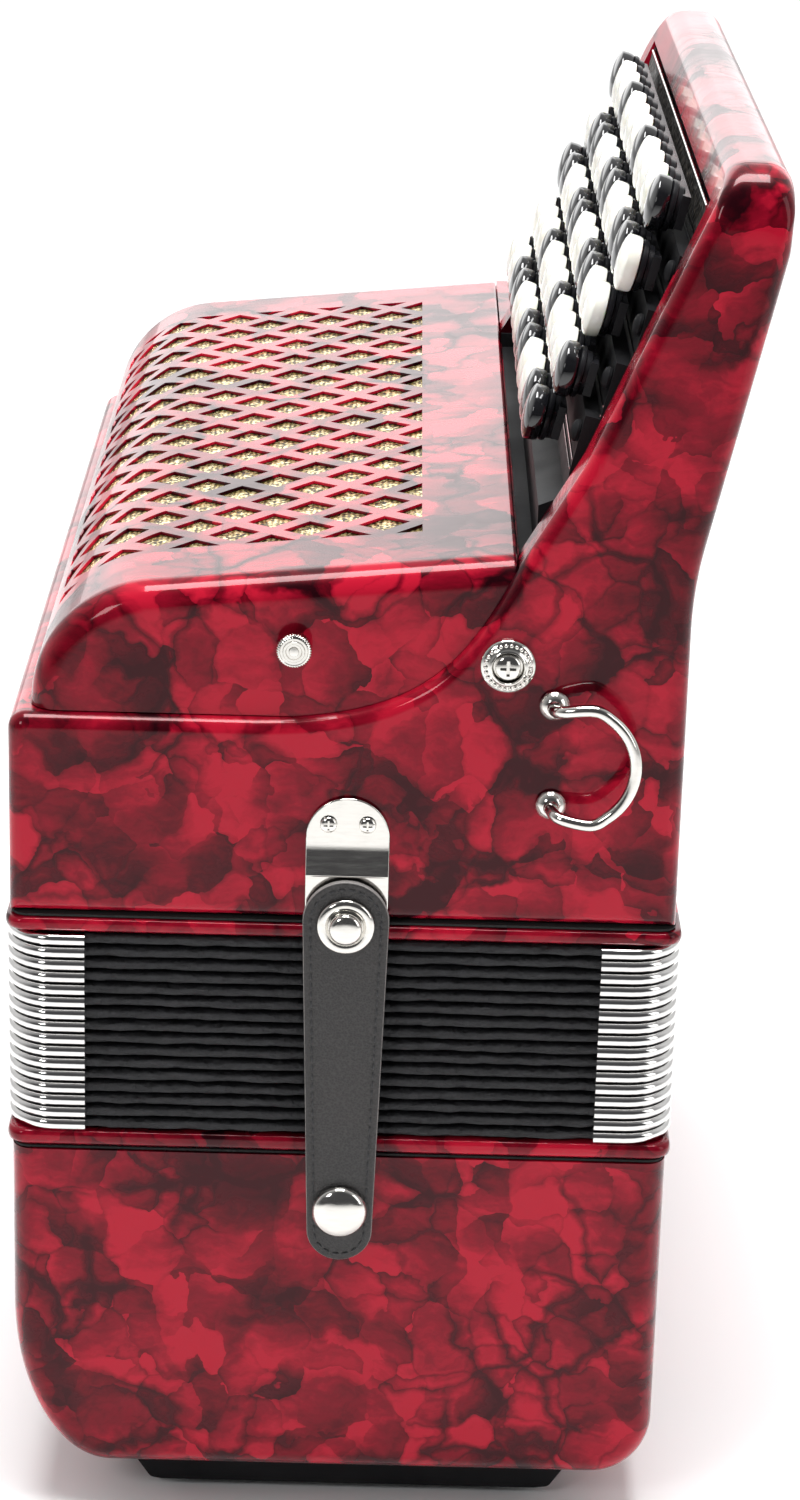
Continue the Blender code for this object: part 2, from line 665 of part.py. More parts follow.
def grille_cover(material):
    """Removable cover: a bent skin with diamond openings and closed ends."""
    half = CASE_HALF_Y - DOME_INSET - GAP
    bm = prism(dome_outline(), -half, half)
    on_end = lambda edge: all(abs(v.co.y - edge.verts[0].co.y) < 1e-6 for v in edge.verts)
    skin_edge = lambda edge: on_end(edge) and max(v.co.z for v in edge.verts) > SHOULDER + 0.001 and min(
        v.co.x for v in edge.verts) < DOME_RIGHT - 1e-4
    round_edges(bm, skin_edge, 0.006, 3)
    obj = mesh_object("grille_cover", bm, material)
    inner = prism([(x, z - (0.01 if z < SHOULDER + 0.001 else 0)) for x, z in dome_outline(DOME_SKIN)],
                  -half + DOME_SKIN, half - DOME_SKIN)
    cut(obj, inner, lattice_cutters())
    return obj


def grille_cloth(material):
    """Metallic cloth stretched just under the lattice."""
    outer = []
    inner = []
    steps = 16
    for k in range(steps + 1):
        point, normal = surface_point(-0.003 + (LATTICE_LENGTH + 0.006) * k / steps)
        outer.append(point - normal * (DOME_SKIN + GAP))
        inner.append(point - normal * (DOME_SKIN + GAP + 0.0006))
    outline = [(p.x, p.y) for p in outer + inner[::-1]]
    return mesh_object("grille_cloth", prism(outline, LATTICE_Y[0] - 0.004, LATTICE_Y[1] + 0.004), material)


def row_centre(row):
    return Vector((FIRST_ROW[0] + row * ROW_STEP[0], FIRST_ROW[1] + row * ROW_STEP[1]))


def key_bed(material):
    """Stepped black bed behind the buttons, one tread for each row."""
    half_tread = 0.5 * Vector(ROW_STEP).dot(CAP_UP)
    front = [Vector((0.0480, 0.2560))]
    for row in range(TREBLE_ROWS):
        middle = row_centre(row) - CAP_OUT * TREAD_DEPTH
        front += [middle - CAP_UP * half_tread, middle + CAP_UP * half_tread]
    front[-1] -= CAP_UP * 0.0015
    thick = Vector((0.0060, -0.0030))
    back = [front[-1] + thick, front[1] + thick + Vector((0.004, 0)), front[0] + Vector((0.0060, 0))]
    outline = [(p.x, p.y) for p in front + back]
    low = -CASE_HALF_Y + CHEEK + GAP
    return mesh_object("key_bed", prism(outline, low, KEYBOARD_FAR - CHEEK - GAP), material)


def treble_button_row(row, material):
    """Twelve domed caps on hubs, joined by the rail that carries them."""
    middle = row_centre(row)
    start = ROW_START - (0.5 * BUTTON_PITCH if row % 2 else 0.0)
    rail_front, rail_back = 0.0062, 0.0084
    front, back = middle - CAP_OUT * rail_front, middle - CAP_OUT * rail_back
    side = CAP_UP * 0.0045
    section = [front - side, front + side, back + side, back - side]
    low = start - 0.006
    high = start + (BUTTONS - 1) * BUTTON_PITCH + 0.006
    bm = prism([(p.x, p.y) for p in section], low, high)
    obj = mesh_object("treble_button_row_%d" % (row + 1), bm, material)
    caps = bmesh.new()
    profile = [(0, -rail_front - 0.001), (0.0056, -rail_front - 0.001), (0.0056, -0.0032)]
    profile += [(BUTTON_RADIUS, -0.0030), (BUTTON_RADIUS, 0.0004), (0, 0.0021)]
    for k in range(BUTTONS):
        centre = (middle.x, start + k * BUTTON_PITCH, middle.y)
        cap = turned(profile, 10, centre, (CAP_OUT.x, 0, CAP_OUT.y))
        scratch = bpy.data.meshes.new("cap")
        cap.to_mesh(scratch)
        caps.from_mesh(scratch)
        cap.free()
        bpy.data.meshes.remove(scratch)
    return smooth(add(obj, caps))


# ---- hardware on both ends ----------------------------------------------------------------
def face_disc(name, x, z, back, profile, sides, side, material):
    """Turned piece standing on an end face. The profile is (radius, height above the back)."""
    bm = turned(profile, sides, (x, side * back, z), (0, side, 0))
    return smooth(mesh_object(name, bm, material))


def strap_bracket(name, side, material):
    """Nickel plate with a half-round top and a raised band, screwed to the treble case."""
    low, high, half = 0.1775, 0.2192, 0.0112
    outline = [(STRAP_X - half, low)]
    outline += arc((STRAP_X, high - half), (half, half), 180, 0, 10)
    outline += [(STRAP_X + half, low)]
    back = CASE_HALF_Y + GAP
    ends = sorted((side * back, side * (back + 0.0012)))
    obj = mesh_object(name, prism(outline, *ends), material)
    band = sorted((side * (back + 0.0006), side * (back + 0.0019)))
    corners = (STRAP_X - half + 0.0004, band[0], 0.2020), (STRAP_X + half - 0.0004, band[1], 0.2048)
    return add(obj, block(*corners))


def bracket_screw(name, x, side, material):
    back = CASE_HALF_Y + GAP + 0.0012 + GAP
    profile = [(0, 0), (0.0024, 0), (0.0022, 0.0006), (0.0010, 0.0010), (0, 0.0011)]
    return face_disc(name, x, 0.2118, back, profile, 10, side, material)


def bellows_strap(name, side, material):
    """Leather strap with round ends, tapering towards the bass end."""
    top_half, low_half = 0.01165, 0.0090
    outline = arc((STRAP_X, STRAP_Z[1] - top_half), (top_half, top_half), 0, 180, 8)
    outline += arc((STRAP_X, STRAP_Z[0] + low_half), (low_half, low_half), 180, 360, 8)
    ends = sorted((side * STRAP_BACK, side * (STRAP_BACK + STRAP_THICK)))
    obj = mesh_object(name, prism(outline, *ends), material)
    return obj


def strap_loop(name, side, material):
    """Bent wire loop for the shoulder strap, with a domed rosette at each foot."""
    x, low, high = 0.0543, 0.2185, 0.2465
    face = CASE_HALF_Y + GAP
    middle = 0.5 * (low + high)
    stand = face + 0.0095
    reach = 0.0215
    rise = 0.5 * (high - low) + 0.0030
    points = [Vector((x, side * (face + 0.0005), high)), Vector((x, side * (face + 0.0045), high))]
    points.append(Vector((x + 0.0025, side * (stand - 0.0015), high + 0.0010)))
    for k in range(7):
        angle = math.radians(70 - 140 * k / 6)
        points.append(Vector((x + 0.0045 + (reach - 0.0045) * math.cos(angle), side * stand,
                              middle + rise * math.sin(angle))))
    points.append(Vector((x + 0.0025, side * (stand - 0.0015), low - 0.0010)))
    points += [Vector((x, side * (face + 0.0045), low)), Vector((x, side * (face + 0.0005), low))]
    obj = mesh_object(name, tube(spline(points, 2), 0.00165, 6, (0, 0, 1)), material)
    profile = [(0, 0), (0.0042, 0), (0.0042, 0.0008), (0.0030, 0.0026), (0, 0.0032)]
    rosettes = [turned(profile, 12, (x, side * face, z), (0, side, 0)) for z in (low, high)]
    return smooth(add(obj, *rosettes))


# ---- assembly -----------------------------------------------------------------------------
def build():
    clear_scene()
    red = make_material("pearl_red", (0.50, 0.03, 0.05), 0.15)
    black = make_material("black_gloss", (0.02, 0.02, 0.02), 0.25)
    matt = make_material("black_moulding", (0.03, 0.03, 0.03), 0.55)
    leather = make_material("leather", (0.045, 0.043, 0.043), 0.6)
    cloth = make_material("bellows_cloth", (0.03, 0.03, 0.035), 0.7)
    chrome = make_material("chrome", (0.85, 0.85, 0.85), 0.12, 1.0)
    nickel = make_material("nickel", (0.70, 0.70, 0.68), 0.2, 1.0)
    gold = make_material("gold_cloth", (0.55, 0.42, 0.12), 0.5, 0.6)
    wood = make_material("wood", (0.62, 0.42, 0.24), 0.6)
    ivory = make_material("ivory_caps", (0.85, 0.84, 0.76), 0.25)
    felt = make_material("gasket_felt", (0.02, 0.02, 0.02), 0.9)

    bodies = {}

    def body(name, *nodes, pivot=(0, 0, 0)):
        bodies[name] = (Vector(pivot), nodes)

    fixed_bass = [bass_case(red), bass_base_plate(matt)]
    for k, (x, y) in enumerate(((-0.0440, -0.146), (0.0530, -0.146), (-0.0440, 0.146), (0.0530, 0.146))):
        fixed_bass.append(foot("foot_%d" % (k + 1), x, y, chrome))
    fixed_bass.append(bass_button_board(matt))
    fixed_bass.append(soundboard("bass_soundboard", 0.1040, 0.1080, wood))
    for k, x in enumerate(REED_BLOCK_X):
        fixed_bass.append(reed_block("bass_reed_block_%d" % (k + 1), x, 0.1083, 0.1400, wood))
    ring = (CASE_HALF_X, CASE_HALF_Y, CASE_HALF_X - 0.013, CASE_HALF_Y - 0.013)
    seal = (CASE_HALF_X - 0.0006, CASE_HALF_Y - 0.0006, CASE_HALF_X - 0.0045, CASE_HALF_Y - 0.0045)
    fixed_bass.append(mesh_object("bass_bellows_frame", frame_ring(*ring, *FRAME_LOW), red))
    fixed_bass.append(
        mesh_object("bass_gasket", frame_ring(*seal, BASS_TOP + GAP, FRAME_LOW[0] - GAP), felt))
    fixed_bass.append(hand_strap(leather))
    fixed_bass.append(bellows(cloth))
    corners = {"front_near": (-1, -1), "back_near": (1, -1), "front_far": (-1, 1), "back_far": (1, 1)}
    for where, (sx, sy) in corners.items():
        fixed_bass.append(corner_stack("bellows_corners_" + where, sx, sy, chrome))

    stud = [(0, 0), (0.0066, 0), (0.0076, 0.0009), (0.0070, 0.0024), (0.0045, 0.0034), (0, 0.0038)]
    snap = [(0, 0), (0.0072, 0), (0.0078, 0.0008), (0.0074, 0.0019), (0.0056, 0.0016)]
    snap += [(0.0054, 0.0026), (0.0036, 0.0036), (0, 0.0040)]
    on_strap = STRAP_BACK + STRAP_THICK + GAP
    for where, side in (("near", -1), ("far", 1)):
        place = (STRAP_X, STRAP_PIVOT_Z, on_strap)
        fixed_bass.append(face_disc("strap_stud_" + where, *place, stud, 16, side, nickel))
        strap = bellows_strap("bellows_strap_" + where, side, leather)
        button = face_disc("strap_snap_" + where, STRAP_X, SNAP_Z, on_strap, snap, 16, side, nickel)
        body("strap_" + where, strap, button, pivot=(STRAP_X, side * on_strap, STRAP_PIVOT_Z))
    body("bass_side", *fixed_bass)

    for row in range(BASS_ROWS):
        x = BASS_FIRST_X + row * BASS_ROW_PITCH
        body("bass_row_%d" % (row + 1), bass_button_row(row, ivory), pivot=(x, 0, 0.0042))
    body("air", air_button(chrome), pivot=(*AIR_BUTTON, 0.0036))

    fixed_treble = [treble_case(red), grille_cover(red), grille_cloth(gold), key_bed(black)]
    fixed_treble.append(mesh_object("treble_bellows_frame", frame_ring(*ring, *FRAME_HIGH), red))
    fixed_treble.append(
        mesh_object("treble_gasket", frame_ring(*seal, FRAME_HIGH[1] + GAP, TREBLE_BOTTOM - GAP), felt))
    fixed_treble.append(soundboard("treble_soundboard", 0.1900, 0.1940, wood))
    for k, x in enumerate(REED_BLOCK_X):
        fixed_treble.append(reed_block("treble_reed_block_%d" % (k + 1), x, 0.1897, 0.1500, wood))
    screw = [(0, 0), (0.0073, 0), (0.0073, 0.0006), (0.0055, 0.0020), (0.0042, 0.0014), (0.0040, 0.0026)]
    screw.append((0, 0.0032))
    thumb = [(0, 0), (0.0026, 0), (0.0026, 0.0016), (0.0047, 0.0018), (0.0047, 0.0052), (0.0038, 0.0060)]
    thumb += [(0.0012, 0.0060), (0, 0.0054)]
    for where, side in (("near", -1), ("far", 1)):
        fixed_treble.append(strap_bracket("strap_bracket_" + where, side, nickel))
        for k, x in enumerate((STRAP_X - 0.0052, STRAP_X + 0.0052)):
            fixed_treble.append(bracket_screw("bracket_screw_%s_%d" % (where, k + 1), x, side, nickel))
        fixed_treble.append(
            face_disc("case_screw_" + where, 0.0416, 0.2572, CASE_HALF_Y + GAP, screw, 16, side, nickel))
        fixed_treble.append(strap_loop("strap_loop_" + where, side, nickel))
        seat = CASE_HALF_Y - DOME_INSET
        turn = face_disc("thumbscrew_" + where, -0.0146, 0.2600, seat, thumb, 16, side, nickel)
        body("thumbscrew_" + where, turn, pivot=(-0.0146, side * seat, 0.2600))
    body("treble_side", *fixed_treble)
    for row in range(TREBLE_ROWS):
        middle = row_centre(row)
        body("treble_row_%d" % (row + 1), treble_button_row(row, ivory), pivot=(middle.x, 0, middle.y))

    root = bpy.data.objects.new("instrument", None)
    bpy.context.scene.collection.objects.link(root)
    root.location = (CENTRE_X, 0, 0)
    for name, (pivot, nodes) in bodies.items():
        empty = bpy.data.objects.new("body_" + name, None)
        bpy.context.scene.collection.objects.link(empty)
        empty.parent = root
        empty.location = pivot
        for node in nodes:
            node.parent = empty
            node.matrix_parent_inverse = Matrix.Translation(-pivot)


build()
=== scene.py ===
"""Looks of a compact five-row button accordion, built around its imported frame.

Metres. Outlines are written in the XZ plane with X measured from the middle of the cases, and
every piece is shifted by MID_X when it is placed.
"""

import json
import math

import bmesh
import bpy
from mathutils import Matrix, Vector, noise


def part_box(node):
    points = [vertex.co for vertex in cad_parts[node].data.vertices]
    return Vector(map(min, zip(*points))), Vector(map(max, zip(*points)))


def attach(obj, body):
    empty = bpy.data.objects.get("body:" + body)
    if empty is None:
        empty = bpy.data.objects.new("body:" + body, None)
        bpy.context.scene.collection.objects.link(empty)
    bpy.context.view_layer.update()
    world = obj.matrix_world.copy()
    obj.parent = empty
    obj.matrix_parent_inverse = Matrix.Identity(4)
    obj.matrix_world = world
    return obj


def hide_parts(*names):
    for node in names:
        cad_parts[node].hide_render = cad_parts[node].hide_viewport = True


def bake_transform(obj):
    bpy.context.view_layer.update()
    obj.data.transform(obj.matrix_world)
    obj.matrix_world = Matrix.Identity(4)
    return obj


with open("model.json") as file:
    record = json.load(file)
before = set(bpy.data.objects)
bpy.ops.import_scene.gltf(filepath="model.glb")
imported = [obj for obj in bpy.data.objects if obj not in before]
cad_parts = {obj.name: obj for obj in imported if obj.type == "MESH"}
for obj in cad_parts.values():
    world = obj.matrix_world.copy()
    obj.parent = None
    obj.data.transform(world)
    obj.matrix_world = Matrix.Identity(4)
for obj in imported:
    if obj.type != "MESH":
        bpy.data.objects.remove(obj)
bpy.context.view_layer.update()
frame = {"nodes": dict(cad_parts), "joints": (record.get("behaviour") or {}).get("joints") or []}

# ---- places taken from the frame ------------------------------------------------------------
GAP = 0.0003                     # clearance between touching pieces, as in the CAD
BASS_LOW, BASS_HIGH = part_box("bass_case")
TREBLE_LOW, TREBLE_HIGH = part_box("treble_case")
COVER_LOW, COVER_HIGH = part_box("grille_cover")
MID_X = 0.5 * (BASS_LOW.x + BASS_HIGH.x)
HALF_X = 0.5 * (BASS_HIGH.x - BASS_LOW.x)
HALF_Y = BASS_HIGH.y
SHOULDER = COVER_LOW.z - GAP
NOSE_TOP = TREBLE_HIGH.z
NOSE_BACK = TREBLE_HIGH.x - MID_X
BACK_X = HALF_X - 0.0008         # player's side of the treble case
WALL = 0.005

# ---- treble case and keyboard ---------------------------------------------------------------
CHEEK = 0.015                    # thickness of the keyboard's end walls
KEYBOARD_FAR = 0.108             # Y where the keyboard ends, short of the case's far end
LIP_START = Vector((-0.0300, SHOULDER))
CHEEK_FOOT = Vector((0.0438, SHOULDER + 0.0436))
KNEE = Vector((0.0600, SHOULDER + 0.0714))
NOSE_FRONT = Vector((0.0938, NOSE_TOP))
WAIST_Z = SHOULDER + 0.0386
RECESS_TOP = Vector((0.0876, NOSE_TOP - 0.0108))
RIM_RADIUS = 0.0048
LIP_EDGE = 0.0042
NEAR_NOSE_RADIUS = 0.0135
FAR_NOSE_RADIUS = 0.022
SOUND_OPENING = ((-0.070, -0.148), (0.036, 0.148))    # in the deck under the cover, in XY

# ---- grille cover ---------------------------------------------------------------------------
DOME_LEFT = COVER_LOW.x - MID_X
DOME_RIGHT = COVER_HIGH.x - MID_X
DOME_TOP = COVER_HIGH.z
DOME_END = COVER_HIGH.y
DOME_SLOPE = 0.100               # fall of the top towards the front
DOME_RADIUS = 0.0346
DOME_SKIN = 0.0008
LATTICE_RIGHT = 0.0183
LATTICE_Y = (-0.131, 0.137)
LATTICE_LENGTH = 0.104           # along the skin, from LATTICE_RIGHT round the front
LATTICE_STEP = (0.0205, 0.0200)  # pitch of the diamonds along the skin and along Y
LATTICE_HOLE = (0.0068, 0.0066)  # half diagonals of a diamond
CLOTH_MARGIN = 0.003

# ---- bass end -------------------------------------------------------------------------------
HAND_CHANNEL = ((-0.0195, -0.122, 0.0), (0.080, 0.122, 0.0088))
BASS_BUTTON_PITCH = 0.015

# ---- bellows --------------------------------------------------------------------------------
FOLDS = 16
FOLD_DEPTH = 0.008
BELLOWS_LOW, BELLOWS_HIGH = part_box("bellows")
FOLD_PITCH = (BELLOWS_HIGH.z - BELLOWS_LOW.z) / FOLDS
CORNER_RADIUS = 0.012
CORNER_ARM = 0.0205              # reach of a plated corner piece along each side

# ---- buttons --------------------------------------------------------------------------------
PRESS = Vector(next(j["axis"] for j in frame["joints"] if j["name"] == "treble_row_1_press"))
CAP_RADIUS = 0.0075
BUTTON_PITCH = 0.0173
BUTTONS = 12
ROW_COLOURS = ("BBWWBBWWBBWW", "BWWWBWWWBWWW", "WWBBWWBBWWBB", "WBBWWBBWWBBW", "BWWWBWWWBWWB")
CAP_OUT = Vector((-PRESS.x, -PRESS.z))
CAP_UP = Vector((CAP_OUT.y, -CAP_OUT.x))
BED_DEPTH = 0.0118               # of the key bed behind the middle of the caps
BED_NEAR = -HALF_Y + CHEEK + 0.0006
BED_FAR = KEYBOARD_FAR - CHEEK - 0.0006
BED_TOP_CUT = 0.0013             # by which the top step is shorter than the others

# ---- meshes and camera ----------------------------------------------------------------------
WELD_DISTANCE = 2e-6
FLAT_ANGLE = 0.2                 # degrees, below which two faces of a Boolean result become one
CAMERA_PLACE = (MID_X + 0.01051, -1.09374, 0.57236)
CAMERA_PITCH, CAMERA_ROLL, CAMERA_YAW = 20.134, 1.562, -0.207
CAMERA_LENS, CAMERA_SENSOR = 89.48, 36.0


# ---- mesh helpers ---------------------------------------------------------------------------
def join(bm, lower, upper):
    """Quads between two rings of vertices."""
    for k, (here, above) in enumerate(zip(lower, upper)):
        after = (k + 1) % len(lower)
        bm.faces.new([here, lower[after], upper[after], above])


def loft(rings):
    """Closed body through rings of 3D points, with flat ends."""
    bm = bmesh.new()
    made = [[bm.verts.new(point) for point in ring] for ring in rings]
    for lower, upper in zip(made, made[1:]):
        join(bm, lower, upper)
    bm.faces.new(made[0])
    bm.faces.new(made[-1])
    bmesh.ops.recalc_face_normals(bm, faces=bm.faces[:])
    return bm


def fillet(corners, steps=6):
    """Polygon whose corners (x, z, radius) are rounded."""
    points = []
    for k, (x, z, radius) in enumerate(corners):
        if not radius:
            points.append(Vector((x, z)))
            continue
        here = Vector((x, z))
        before = (Vector(corners[k - 1][:2]) - here).normalized()
        after = (Vector(corners[(k + 1) % len(corners)][:2]) - here).normalized()
        half = before.angle(after) / 2
        centre = here + (before + after).normalized() * radius / math.sin(half)
        start = here + before * radius / math.tan(half) - centre
        end = here + after * radius / math.tan(half) - centre
        turn = start.angle_signed(end)
        for step in range(steps + 1):
            angle = -turn * step / steps
            turned_start = Matrix.Rotation(angle, 2) @ start
            points.append(centre + turned_start)
    return points


def inset(outline, amount):
    """The outline moved inwards by an even amount."""
    if not amount:
        return list(outline)
    count = len(outline)
    area = sum(a.cross(b) for a, b in zip(outline, outline[1:] + outline[:1]))
    side = 1 if area > 0 else -1
    moved = []
    for k, here in enumerate(outline):
        before = (here - outline[k - 1]).normalized()
        after = (outline[(k + 1) % count] - here).normalized()
        first = Vector((-before.y, before.x)) * side
        second = Vector((-after.y, after.x)) * side
        middle = (first + second).normalized()
        moved.append(here + middle * amount / max(middle.dot(first), 0.5))
    return moved


def rounded_prism(section, low, high, near=0.0, far=0.0, steps=5):
    """Prism along Y with round edges at its two ends.

    The section is an outline in XZ, or a function that gives the outline for an inset.
    """
    rings = []
    for radius, start, inwards in ((near, low, 1), (far, high, -1)):
        end_rings = []
        for k in range(steps + 1 if radius else 1):
            angle = math.pi / 2 * k / steps
            y = start + inwards * radius * (1 - math.cos(angle))
            amount = radius * (1 - math.sin(angle))
            ring = section(amount) if callable(section) else inset(section, amount)
            end_rings.append([(p.x, y, p.y) for p in ring])
        rings += end_rings if inwards > 0 else end_rings[::-1]
    return loft(rings)


def bowed(depth, radius):
    """How far a round edge has fallen at a depth measured inwards from its end."""
    if depth >= radius:
        return 0.0
    return radius - math.sqrt(radius**2 - (radius - depth)**2)


def nosed_rings(outline_at, end, inwards, edge, nose, reach):
    """Rings from one end of the keyboard: rounded edges plus the big round of its upper corner."""
    depths = [edge * (1 - math.cos(math.pi / 2 * k / 6)) for k in range(7)]
    depths += [edge + (nose - edge) * (k / 9)**1.3 for k in range(1, 10)]
    depths.append(reach)
    rings = []
    for depth in depths:
        ring = inset(outline_at(bowed(depth, nose)), bowed(depth, edge))
        rings.append([(p.x, end + inwards * depth, p.y) for p in ring])
    return rings


def block(low, high):
    corners = [(low[0], low[2]), (high[0], low[2]), (high[0], high[2]), (low[0], high[2])]
    return rounded_prism([Vector(c) for c in corners], low[1], high[1])


def turned(profile, sides, centre, axis):
    """Closed turned solid from (radius, distance along axis) pairs that start and end on the axis."""
    bm = bmesh.new()
    rings = []
    for radius, along in profile:
        if radius == 0:
            rings.append([bm.verts.new((0, 0, along))])
            continue
        turns = [2 * math.pi * k / sides for k in range(sides)]
        rings.append([bm.verts.new((radius * math.cos(a), radius * math.sin(a), along)) for a in turns])
    for lower, upper in zip(rings, rings[1:]):
        for k in range(sides):
            after = (k + 1) % sides
            corners = [lower[k % len(lower)], lower[after % len(lower)]]
            corners += [upper[after % len(upper)], upper[k % len(upper)]]
            bm.faces.new(list(dict.fromkeys(corners)))
    turn = Vector((0, 0, 1)).rotation_difference(Vector(axis)).to_matrix().to_4x4()
    bmesh.ops.transform(bm, matrix=Matrix.Translation(centre) @ turn, verts=bm.verts[:])
    bmesh.ops.recalc_face_normals(bm, faces=bm.faces[:])
    return bm


def merge(target, *others):
    """Adds other meshes to target and frees them."""
    for other in others:
        scratch = bpy.data.meshes.new("scratch")
        other.to_mesh(scratch)
        target.from_mesh(scratch)
        other.free()
        bpy.data.meshes.remove(scratch)
    return target


def paint(bm, index):
    for face in bm.faces:
        face.material_index = index
    return bm


def boolean(bm, operation, *others):
    """Applies Booleans one after another and returns the new mesh."""
    obj = plain_object("boolean_work", bm)
    for other in others:
        tool = plain_object("boolean_tool", other)
        modifier = obj.modifiers.new("boolean", "BOOLEAN")
        modifier.operation = operation
        modifier.solver = "EXACT"
        modifier.object = tool
        graph = bpy.context.evaluated_depsgraph_get()
        mesh = bpy.data.meshes.new_from_object(obj.evaluated_get(graph))
        obj.modifiers.clear()
        obj.data = mesh
        bpy.data.objects.remove(tool, do_unlink=True)
    result = bmesh.new()
    result.from_mesh(obj.data)
    bpy.data.objects.remove(obj, do_unlink=True)
    bmesh.ops.remove_doubles(result, verts=result.verts[:], dist=WELD_DISTANCE)
    flat = math.radians(FLAT_ANGLE)
    bmesh.ops.dissolve_limit(result, angle_limit=flat, verts=result.verts[:], edges=result.edges[:])
    return result


def plain_object(name, bm):
    mesh = bpy.data.meshes.new(name)
    bm.to_mesh(mesh)
    bm.free()
    obj = bpy.data.objects.new(name, mesh)
    bpy.context.scene.collection.objects.link(obj)
    return obj


def piece(name, bm, materials, body=None, stands_for=(), sharp=30):
    """Turns a mesh into a placed, smooth-shaded piece that rides on a body."""
    bmesh.ops.translate(bm, verts=bm.verts[:], vec=(MID_X, 0, 0))
    obj = plain_object(name, bm)
    for material in materials:
        obj.data.materials.append(material)
    obj.data.shade_smooth()
    obj.data.set_sharp_from_angle(angle=math.radians(sharp))
    normals = obj.modifiers.new("weighted_normals", "WEIGHTED_NORMAL")
    normals.keep_sharp = True
    if body:
        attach(obj, body)
    if stands_for:
        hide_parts(*stands_for)
    return obj


def arc(centre, radii, start, end, steps):
    """Points of an elliptic arc in XZ, with angles in degrees."""
    points = []
    for k in range(steps + 1):
        angle = math.radians(start + (end - start) * k / steps)
        x, z = centre[0] + radii[0] * math.cos(angle), centre[1] + radii[1] * math.sin(angle)
        points.append(Vector((x, z)))
    return points


def spline(points, steps):
    """Catmull-Rom curve through the points."""
    path = []
    ends = [points[0], *points, points[-1]]
    for a, b, c, d in zip(ends, ends[1:], ends[2:], ends[3:]):
        for k in range(steps):
            t = k / steps
            path.append(0.5 * (2 * b + (c - a) * t + (2 * a - 5 * b + 4 * c - d) * t**2
                               + (3 * b - a - 3 * c + d) * t**3))
    path.append(points[-1])
    return path


def tube(path, radius, sides, side_hint):
    """Closed round tube along a smooth path of 3D points."""
    rings = []
    normal = Vector(side_hint)
    for k, point in enumerate(path):
        tangent = (path[min(k + 1, len(path) - 1)] - path[max(k - 1, 0)]).normalized()
        normal = (normal - tangent * normal.dot(tangent)).normalized()
        other = tangent.cross(normal)
        turns = [2 * math.pi * side / sides for side in range(sides)]
        rings.append([point + radius * (math.cos(a) * normal + math.sin(a) * other) for a in turns])
    return loft(rings)


# ---- places of CAD nodes --------------------------------------------------------------------
def centre_of(node):
    """Middle of a CAD node's box: X from the middle of the cases, Y and Z."""
    low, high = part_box(node)
    return 0.5 * (low.x + high.x) - MID_X, 0.5 * (low.y + high.y), 0.5 * (low.z + high.z)


def back_of(node, side):
    """Y of the face by which a CAD node stands on the near (-1) or far (1) end."""
    low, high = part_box(node)
    return low.y if side > 0 else high.y


def on_side(profile, node, side, sides=48):
    """Turned piece where a CAD node stands on an end face. Heights are measured from the node's back."""
    x, _, z = centre_of(node)
    return turned(profile, sides, (x, back_of(node, side), z), (0, side, 0))


def upright(profile, node, sides):
    """Turned piece on a vertical axis through a CAD node. Heights are measured from the ground."""
    x, y, _ = centre_of(node)
    return turned(profile, sides, (x, y, 0), (0, 0, 1))


